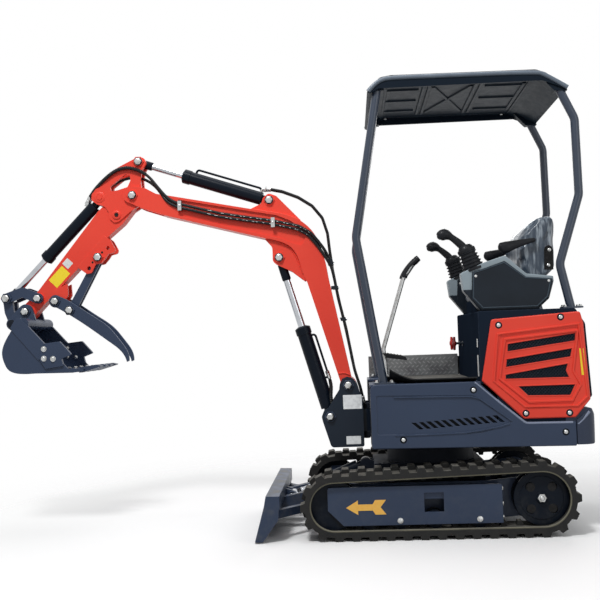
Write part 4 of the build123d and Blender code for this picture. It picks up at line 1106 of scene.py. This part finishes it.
# wire mesh behind the vents, its two layers given as slope and distance from the middle
ventWire = {"pitch": 11, "radius": 1.5, "layers": ((45, 421), (-45, 423))}
bm = bmesh.new()
for out in bothSides:
    for shape in ventShapes:
        for angle, depth in ventWire["layers"]:
            way = Vector((math.cos(math.radians(angle)), math.sin(math.radians(angle))))
            side = Vector((-way.y, way.x))
            reach = [int(Vector(p).dot(side) // ventWire["pitch"]) for p in shape]
            for k in range(min(reach), max(reach) + 1):
                start = side * k * ventWire["pitch"]
                for low, high in spansInside(shape, start, way):
                    ends = (start + way * (low - 2), start + way * (high + 2))
                    swept(bm, [at(p.x, out * depth, p.y) for p in ends], ventWire["radius"], 5)
piece("ventMesh", bm, (blackPlastic,), "house")

# side panels: rolled beads below and above the louvres, given as line, width and height
panelLines = (
    ([(200, 497), (144, 497), (0, 498), (-141, 502), (-220, 512), (-304, 526), (-352, 540)], 4.5, 5.0),
    ([(200, 681), (-23, 678), (-170, 675), (-211, 664), (-294, 603), (-362, 552)], 4.0, 4.0),
)
bm = bmesh.new()
for out in bothSides:
    for line, width, high in panelLines:
        ridge(bm, line, sideFace(out, 429.5), width, high)
piece("panelBeads", bm, (slatePaint,), "house")

# rolled hems along the top edges of the panels and the counterweight, pale as a painted highlight of the
# sky's reflection
hems = (
    ((-192, 741), (-200, 738), (-315, 635), (-418, 548), (-430, 540), (-445, 538), (-553, 537), (-652, 536)),
    ((-676, 528), (-699, 547), (-733, 586)),
)
bm = bmesh.new()
for out in bothSides:
    for line in hems:
        swept(bm, [at(x, out * 424.5, z) for x, z in line], 6.5, 14)
piece("edgeHems", bm, (hemHighlightPaint,), "house")

# yellow sticker at the rear edge of each cover
coverSticker = [(-697, 890), (-718, 889), (-724, 762), (-703, 762)]
bm = bmesh.new()
for out in bothSides:
    sidePlate(bm, coverSticker, out, 429.8, 430.6)
piece("coverStickers", bm, (stickerYellow,), "house")

# dark sheet with leaning fins behind the louvres: painted shade in the slots
louvreShade = {"sheet": (150, 508, -350, 600), "fins": 12, "x": 109, "pitch": 35.5, "climb": 2.2}
bm = bmesh.new()
for out in bothSides:
    sidePlate(bm, corners(*louvreShade["sheet"]), out, 396, 400)
    for i in range(louvreShade["fins"]):
        x, z = louvreShade["x"] - louvreShade["pitch"] * i, louvreShade["climb"] * i
        fin = [(x + 14, 560 + z), (x + 8, 560 + z), (x - 32, 520 + z), (x - 26, 520 + z)]
        sidePlate(bm, fin, out, 399, 416)
piece("louvreShadeSheet", bm, (blackPaint,), "house")

# rear hood: rolled frame with rounded corners, slats on both sides of its middle
hood = {
    "half": 330, "low": 690, "high": 985, "corner": 26, "slats": 7, "pitch": 29, "firstSlat": 42,
    "slatFrom": 46, "slatTo": 284,
}


# point on the sloping rear face of the box, h mm out of it
def onRear(y, z, h):
    return at(-735 - (1010 - z) * 17 / 350 - h, y, z)


bm = bmesh.new()
bend = hood["corner"]
half, low, high = hood["half"] - bend, hood["low"] + bend, hood["high"] - bend
hoodFrame = []
for y, z, start in ((half, high, 0), (-half, high, 90), (-half, low, 180), (half, low, 270)):
    for step in (0, 30, 60, 90):
        a = math.radians(start + step)
        hoodFrame.append((y + bend * math.cos(a), z + bend * math.sin(a)))
ridge(bm, hoodFrame, onRear, 7, 5, True)
for side in bothSides:
    for i in range(hood["slats"]):
        z = hood["low"] + hood["firstSlat"] + i * hood["pitch"]
        ridge(bm, [(side * hood["slatFrom"], z), (side * hood["slatTo"], z)], onRear, 8, 7)
piece("rearHood", bm, (boxPaint,), "house")

# latch and hinges of the hood
hoodLatch = {"z": 950, "hingeY": 210, "hingeZ": 1000, "hingeHalf": 34}
bm = bmesh.new()
spot = onRear(0, hoodLatch["z"], 0)
turned(bm, ((24, -1), (24, 2), (21, 4), (15, 4)), spot, (-1, 0, 0), 32)
turned(bm, ((14, 3), (14, 6), (11, 8), (3, 8)), spot, (-1, 0, 0), 24, 1)
for out in bothSides:
    y, z, half = out * hoodLatch["hingeY"], hoodLatch["hingeZ"], hoodLatch["hingeHalf"]
    swept(bm, [onRear(y - half, z, 4), onRear(y + half, z, 4)], 7.5, 16)
piece("hoodLatch", bm, (zinc, blackPaint), "house")

# canopy: rim along both sides of the roof, pale as a painted highlight of the sky's reflection
roofRim = {
    "y": 394, "radius": 11,
    "route": (
        (266, 2200), (247, 2221), (222, 2242), (196, 2256), (150, 2263), (-100, 2260), (-560, 2255),
        (-606, 2241), (-712, 2171),
    ),
}
bm = bmesh.new()
for out in bothSides:
    route = [at(x, out * roofRim["y"], z) for x, z in roofRim["route"]]
    swept(bm, smoothLine(route, 8), roofRim["radius"], 16)
piece("roofRims", bm, (roofRimHighlight,), "house")

# pressed ribs and a raised edge under the roof
roofRibs = [[(x, -290), (x, 290)] for x in (-24, -52, -286, -314)]
roofRibs += [[(-72, -250), (-266, 250)], [(-72, 250), (-266, -250)]]
roofRibs += [[(168, y), (0, y)] for y in (-210, 0, 210)] + [[(-336, y), (-520, y)] for y in (-230, 0, 230)]
roofRibs += [[(172, -262), (172, 262)], [(-530, -262), (-530, 262)]]
roofEdge = [(176, -345), (-552, -345), (-552, 345), (176, 345)]


# point on the roof's under side, h mm below it
def underRoof(x, y, h):
    return at(x, y, 2250.5 + (x - 145) * 0.0086 - h)


bm = bmesh.new()
for line in roofRibs:
    ridge(bm, line, underRoof, 11, 8)
ridge(bm, roofEdge, underRoof, 8, 6, True)
piece("roofRibs", bm, (roofPlastic,), "house")

# screws under the roof, and bolts on the post feet
canopyBolt = {
    "roof": ((150, 2247), (-520, 2241)), "roofY": (372, -372),
    "feet": ((203, 753), (277, 753), (-724, 1094), (-651, 1094)), "footY": (333, 387, -333, -387),
}
bm = bmesh.new()
for x, z in canopyBolt["roof"]:
    for y in canopyBolt["roofY"]:
        turned(bm, ((9, 0), (9, 3), (6, 6), (2, 7)), at(x, y, z), (0, 0, -1), 16)
for x, z in canopyBolt["feet"]:
    for y in canopyBolt["footY"]:
        turned(bm, ((10, 0), (10, 2), (9, 2.5)), at(x, y, z), (0, 0, 1), 20)
        turned(bm, ((7.5, 2.5), (7.5, 8), (5.5, 10)), at(x, y, z), (0, 0, 1), 6)
piece("canopyBolts", bm, (zinc,), "house")
print("panels and canopy dressed")

# seat slides: plates painted black as painted shade of their recess, with bright catches low on both sides
# of the back
seatSlide = {"inner": 207, "outer": 213, "catches": ((-626, 1390), (-618, 1312))}
arch = [(-640, 1292), (-600, 1294), (-603, 1388), (-608, 1404), (-623, 1412), (-637, 1404), (-643, 1388)]
bm = bmesh.new()
for out in bothSides:
    sidePlate(bm, arch, out, seatSlide["inner"], seatSlide["outer"])
    ridge(bm, arch, sideFace(out, seatSlide["outer"] - 0.5), 3, 3, True)
    for x, z in seatSlide["catches"]:
        face = at(x, out * seatSlide["outer"], z)
        turned(bm, ((9, 0), (9, 4), (6, 7), (2, 8)), face, (0, out, 0), 18, 1)
piece("seatSlides", bm, (recessShade, zinc), "house")

# console: raised edge round each dark panel, paler than its plastic as a painted highlight
consoleLine = [
    (-222, 1280), (-270, 1292), (-374, 1325), (-474, 1246), (-598, 1234), (-578, 1150), (-527, 1104),
    (-262, 1104), (-216, 1156),
]
bm = bmesh.new()
for out in bothSides:
    ridge(bm, consoleLine, sideFace(out, 344.6), 3.2, 2.6, True)
piece("consoleBeads", bm, (beadHighlightPlastic,), "house")

# ribbed rubber pads on the travel pedals
pedal = {"y": 70, "ribs": 6, "x": 128, "pitch": 17}
pedalShape = [(216, 867), (236, 893), (116, 871), (106, 850)]
bm = bmesh.new()
for y in (pedal["y"], -pedal["y"]):
    plate(bm, pedalShape, y - 37, y + 37)
    for i in range(pedal["ribs"]):
        x, z = pedal["x"] + i * pedal["pitch"], 872 + i * 3.2
        plate(bm, [(x, z), (x + 7, z + 1.5), (x + 6, z + 5), (x + 1, z + 4)], y - 30, y + 30)
piece("pedalPads", bm, (matRubber,), "house")

# bolts on the bucket's side cutters and lip
bucketBolt = {
    "cutter": ((2005, 975), (2006, 925), (1957, 922)), "outer": 205, "inner": 183,
    "lipX": (1852, 1888), "lipY": (-150, -50, 50, 150), "lipZ": 868,
}
bm = bmesh.new()
for x, z in bucketBolt["cutter"]:
    for out in bothSides:
        face = at(x, out * bucketBolt["outer"], z)
        turned(bm, ((15, -1), (15, 2), (14, 3)), face, (0, out, 0), 24)
        turned(bm, ((11, 3), (11, 9), (8, 11), (4, 11)), face, (0, out, 0), 6)
        turned(bm, ((12, 0), (12, 8), (9, 10)), at(x, out * bucketBolt["inner"], z), (0, -out, 0), 6)
for y in bucketBolt["lipY"]:
    for x in bucketBolt["lipX"]:
        turned(bm, ((10, -2), (10, 6), (7, 8)), at(x, y, bucketBolt["lipZ"]), (0, 0, 1), 6)
piece("bucketBolts", bm, (zinc,), "bucket")

# weld beads on both sides of the boom, each a distance from its middle and a line
weldLook = {"radius": 4.5, "ripple": 0.7}
weldLines = (
    (42, ((652, 1621), (700, 1642), (760, 1660), (830, 1675), (900, 1688))),
    (42, ((830, 1524), (752, 1502), (700, 1471), (662, 1400), (640, 1330))),
    (61, ((470, 790), (440, 800), (410, 782))),
)
bm = bmesh.new()
for out in bothSides:
    for y, points in weldLines:
        line = smoothLine([at(x, out * y, z) for x, z in points], 24)
        swept(bm, line, lambda done: weldLook["radius"] + weldLook["ripple"] * math.sin(done * 0.9), 8)
piece("boomWelds", bm, (redPaint,), "boom", 60)

# stick: pin ends of the bucket cylinder, a ringed boss, and pilot holes by x, z, face and radius, the holes
# painted black as painted shade
stickBoss = {"pin": (1734, 1789), "boss": (1642, 1688), "face": 45}
pilotHoles = ((1729, 1488, 40, 6), (1782, 1436, 40, 6), (1642, 1696, 51, 4))
bm = bmesh.new()
for out in bothSides:
    axis = (0, out, 0)
    pin, boss = (at(stickBoss[k][0], out * stickBoss["face"], stickBoss[k][1]) for k in ("pin", "boss"))
    turned(bm, ((30, -1), (30, 1.5), (28, 3), (17, 3), (16, 1.5)), pin, axis, 36)
    turned(bm, ((24, -1), (24, 4), (21, 6), (13, 6), (12, 2)), boss, axis, 36)
    turned(bm, ((10, 2), (10, 6.3), (9, 6.4)), boss, axis, 24, 1)
    for x, z, face, r in pilotHoles:
        turned(bm, ((r, -1), (r, 0.5), (r - 0.5, 0.6)), at(x, out * face, z), axis, 18, 1)
piece("stickBosses", bm, (redPaint, recessShade), "stick")

# black sleeves at the rods' eyes, by start, end and radius
rodEnds = (("boom", 36, 128, 24), ("stick", 30, 74, 23), ("bucket", 30, 64, 22), ("blade", 28, 56, 21))
for name, near, far, radius in rodEnds:
    base, eye = cylinderPins(name)
    rodSleeve = ((radius - 2, near), (radius, near + 2), (radius, far - 6), (radius - 4, far))
    bm = bmesh.new()
    turned(bm, rodSleeve, eye, base - eye, 32)
    piece(name + "_cylinderRodEnd", bm, (blackPaint,), name + "_cylinder_rod")

# black wiper rings where the rods come out, by distance from the base pin, outer radius and rod radius
bladeBase, bladeEye = cylinderPins("blade")
bladeReach = (bladeEye - bladeBase).length * 1000 - 150
wipers = (
    ("blade", bladeReach, 36, 17), ("boom", 492, 40, 20), ("stick", 490, 37, 18), ("bucket", 452, 35, 17),
)
for name, reach, outer, rod in wipers:
    base, eye = cylinderPins(name)
    way = (eye - base).normalized()
    ring = ((rod + 1.2, 0), (outer - 3, 0), (outer - 4, 4), (rod + 9, 5), (rod + 5, 9), (rod + 1.2, 9))
    bm = bmesh.new()
    turned(bm, ring, base + way * reach * 0.001, way, 36, hollow=True)
    piece(name + "_cylinderWiper", bm, (blackPlastic,), name + "_cylinder_barrel")
print("arm detailed")

# pale floor that fades into a white background
stage = {"radius": 6.0, "fadeFrom": 1.1, "fadeTo": 3.4}
bm = bmesh.new()
bmesh.ops.create_circle(bm, cap_ends=True, radius=stage["radius"], segments=96)
floorMesh = bpy.data.meshes.new("studioFloor")
bm.to_mesh(floorMesh)
bm.free()
studioFloor = bpy.data.objects.new("studioFloor", floorMesh)
scene.collection.objects.link(studioFloor)
studioFloor.location.z = -0.0005
f = Finish("studioFloor", {"Roughness": 0.85, "Specular IOR Level": 0.1})
far = f.node("ShaderNodeVectorMath", {"operation": "LENGTH"}, {0: f.place}, "Value")
pale = f.mix((0.95, 0.95, 0.95, 1), (0.98, 0.98, 0.98, 1), f.noise(1.3, 2))
bounced = f.node("ShaderNodeLightPath", {}, {}, "Is Diffuse Ray")
f.set("Base Color", f.mix(pale, (0.3, 0.3, 0.3, 1), bounced))
f.set("Alpha", f.band(far, stage["fadeTo"], stage["fadeFrom"]))
floorMesh.materials.append(f.material)

# world: plain light, and white where it is seen
sky = {"light": (0.97, 0.985, 1.0, 1), "strength": 0.34, "seen": (1, 1, 1, 1)}
world = bpy.data.worlds.new("studio")
scene.world = world
world.use_nodes = True
w = NodeTree(world.node_tree)
light = w.tree.nodes["Background"]
w.feed(light.inputs["Color"], sky["light"])
w.feed(light.inputs["Strength"], sky["strength"])
white = w.node("ShaderNodeBackground", {}, {"Color": sky["seen"]})
rays = ("Is Camera Ray", "Is Transmission Ray", "Is Glossy Ray")
straight, through, mirrored = (w.node("ShaderNodeLightPath", {}, {}, ray) for ray in rays)
seen = straight.calc("MAXIMUM", through).calc("MAXIMUM", mirrored)
both = w.node("ShaderNodeMixShader", {}, {0: seen, 1: Wire(w, light.outputs[0]), 2: white})
w.feed(w.tree.nodes["World Output"].inputs["Surface"], both)


# soft box lamp that looks at a point
def softBox(name, place, aim, size, watts):
    lamp = bpy.data.lights.new(name, "AREA")
    lamp.shape = "RECTANGLE"
    lamp.size, lamp.size_y = size
    lamp.energy = watts
    obj = bpy.data.objects.new(name, lamp)
    scene.collection.objects.link(obj)
    obj.location = place
    obj.rotation_euler = (Vector(aim) - Vector(place)).to_track_quat("-Z", "Y").to_euler()


softBox("keyLamp", (1.7, 3.2, 5.4), (0.3, 0, 0.9), (0.9, 0.9), 190)
softBox("fillLamp", (-3.2, 4.2, 2.4), (0.0, 0, 0.9), (2.5, 2.5), 36)
softBox("topLamp", (0.2, -0.6, 5.2), (0.2, 0, 0.8), (4.0, 3.0), 90)
softBox("backLamp", (-1.6, -4.0, 3.2), (0.2, 0, 0.9), (3.0, 2.0), 60)

# camera at the photograph's place, its focal length in pixels of a picture of the given width
shot = {
    "place": (0.397, 4.765, 0.986), "yaw": 3.2, "pitch": 2.46, "roll": 2.0, "pixels": 885.0, "width": 600,
}
yaw, pitch, roll = (math.radians(shot[k]) for k in ("yaw", "pitch", "roll"))
ahead = Vector((math.sin(yaw), -math.cos(yaw), 0))
right = Vector((-math.cos(yaw), -math.sin(yaw), 0))
look = (ahead * math.cos(pitch) + Vector((0, 0, math.sin(pitch)))).normalized()
up = right.cross(look)
camRight = right * math.cos(roll) - up * math.sin(roll)
camUp = right * math.sin(roll) + up * math.cos(roll)
lens = bpy.data.cameras.new("camera")
lens.sensor_width = 36
lens.lens = shot["pixels"] / shot["width"] * lens.sensor_width
camera = bpy.data.objects.new("camera", lens)
scene.collection.objects.link(camera)
turn = Matrix((camRight, camUp, -look)).transposed().to_4x4()
camera.matrix_world = Matrix.Translation(shot["place"]) @ turn
scene.camera = camera
scene.view_settings.view_transform = "Standard"
print("stage set")
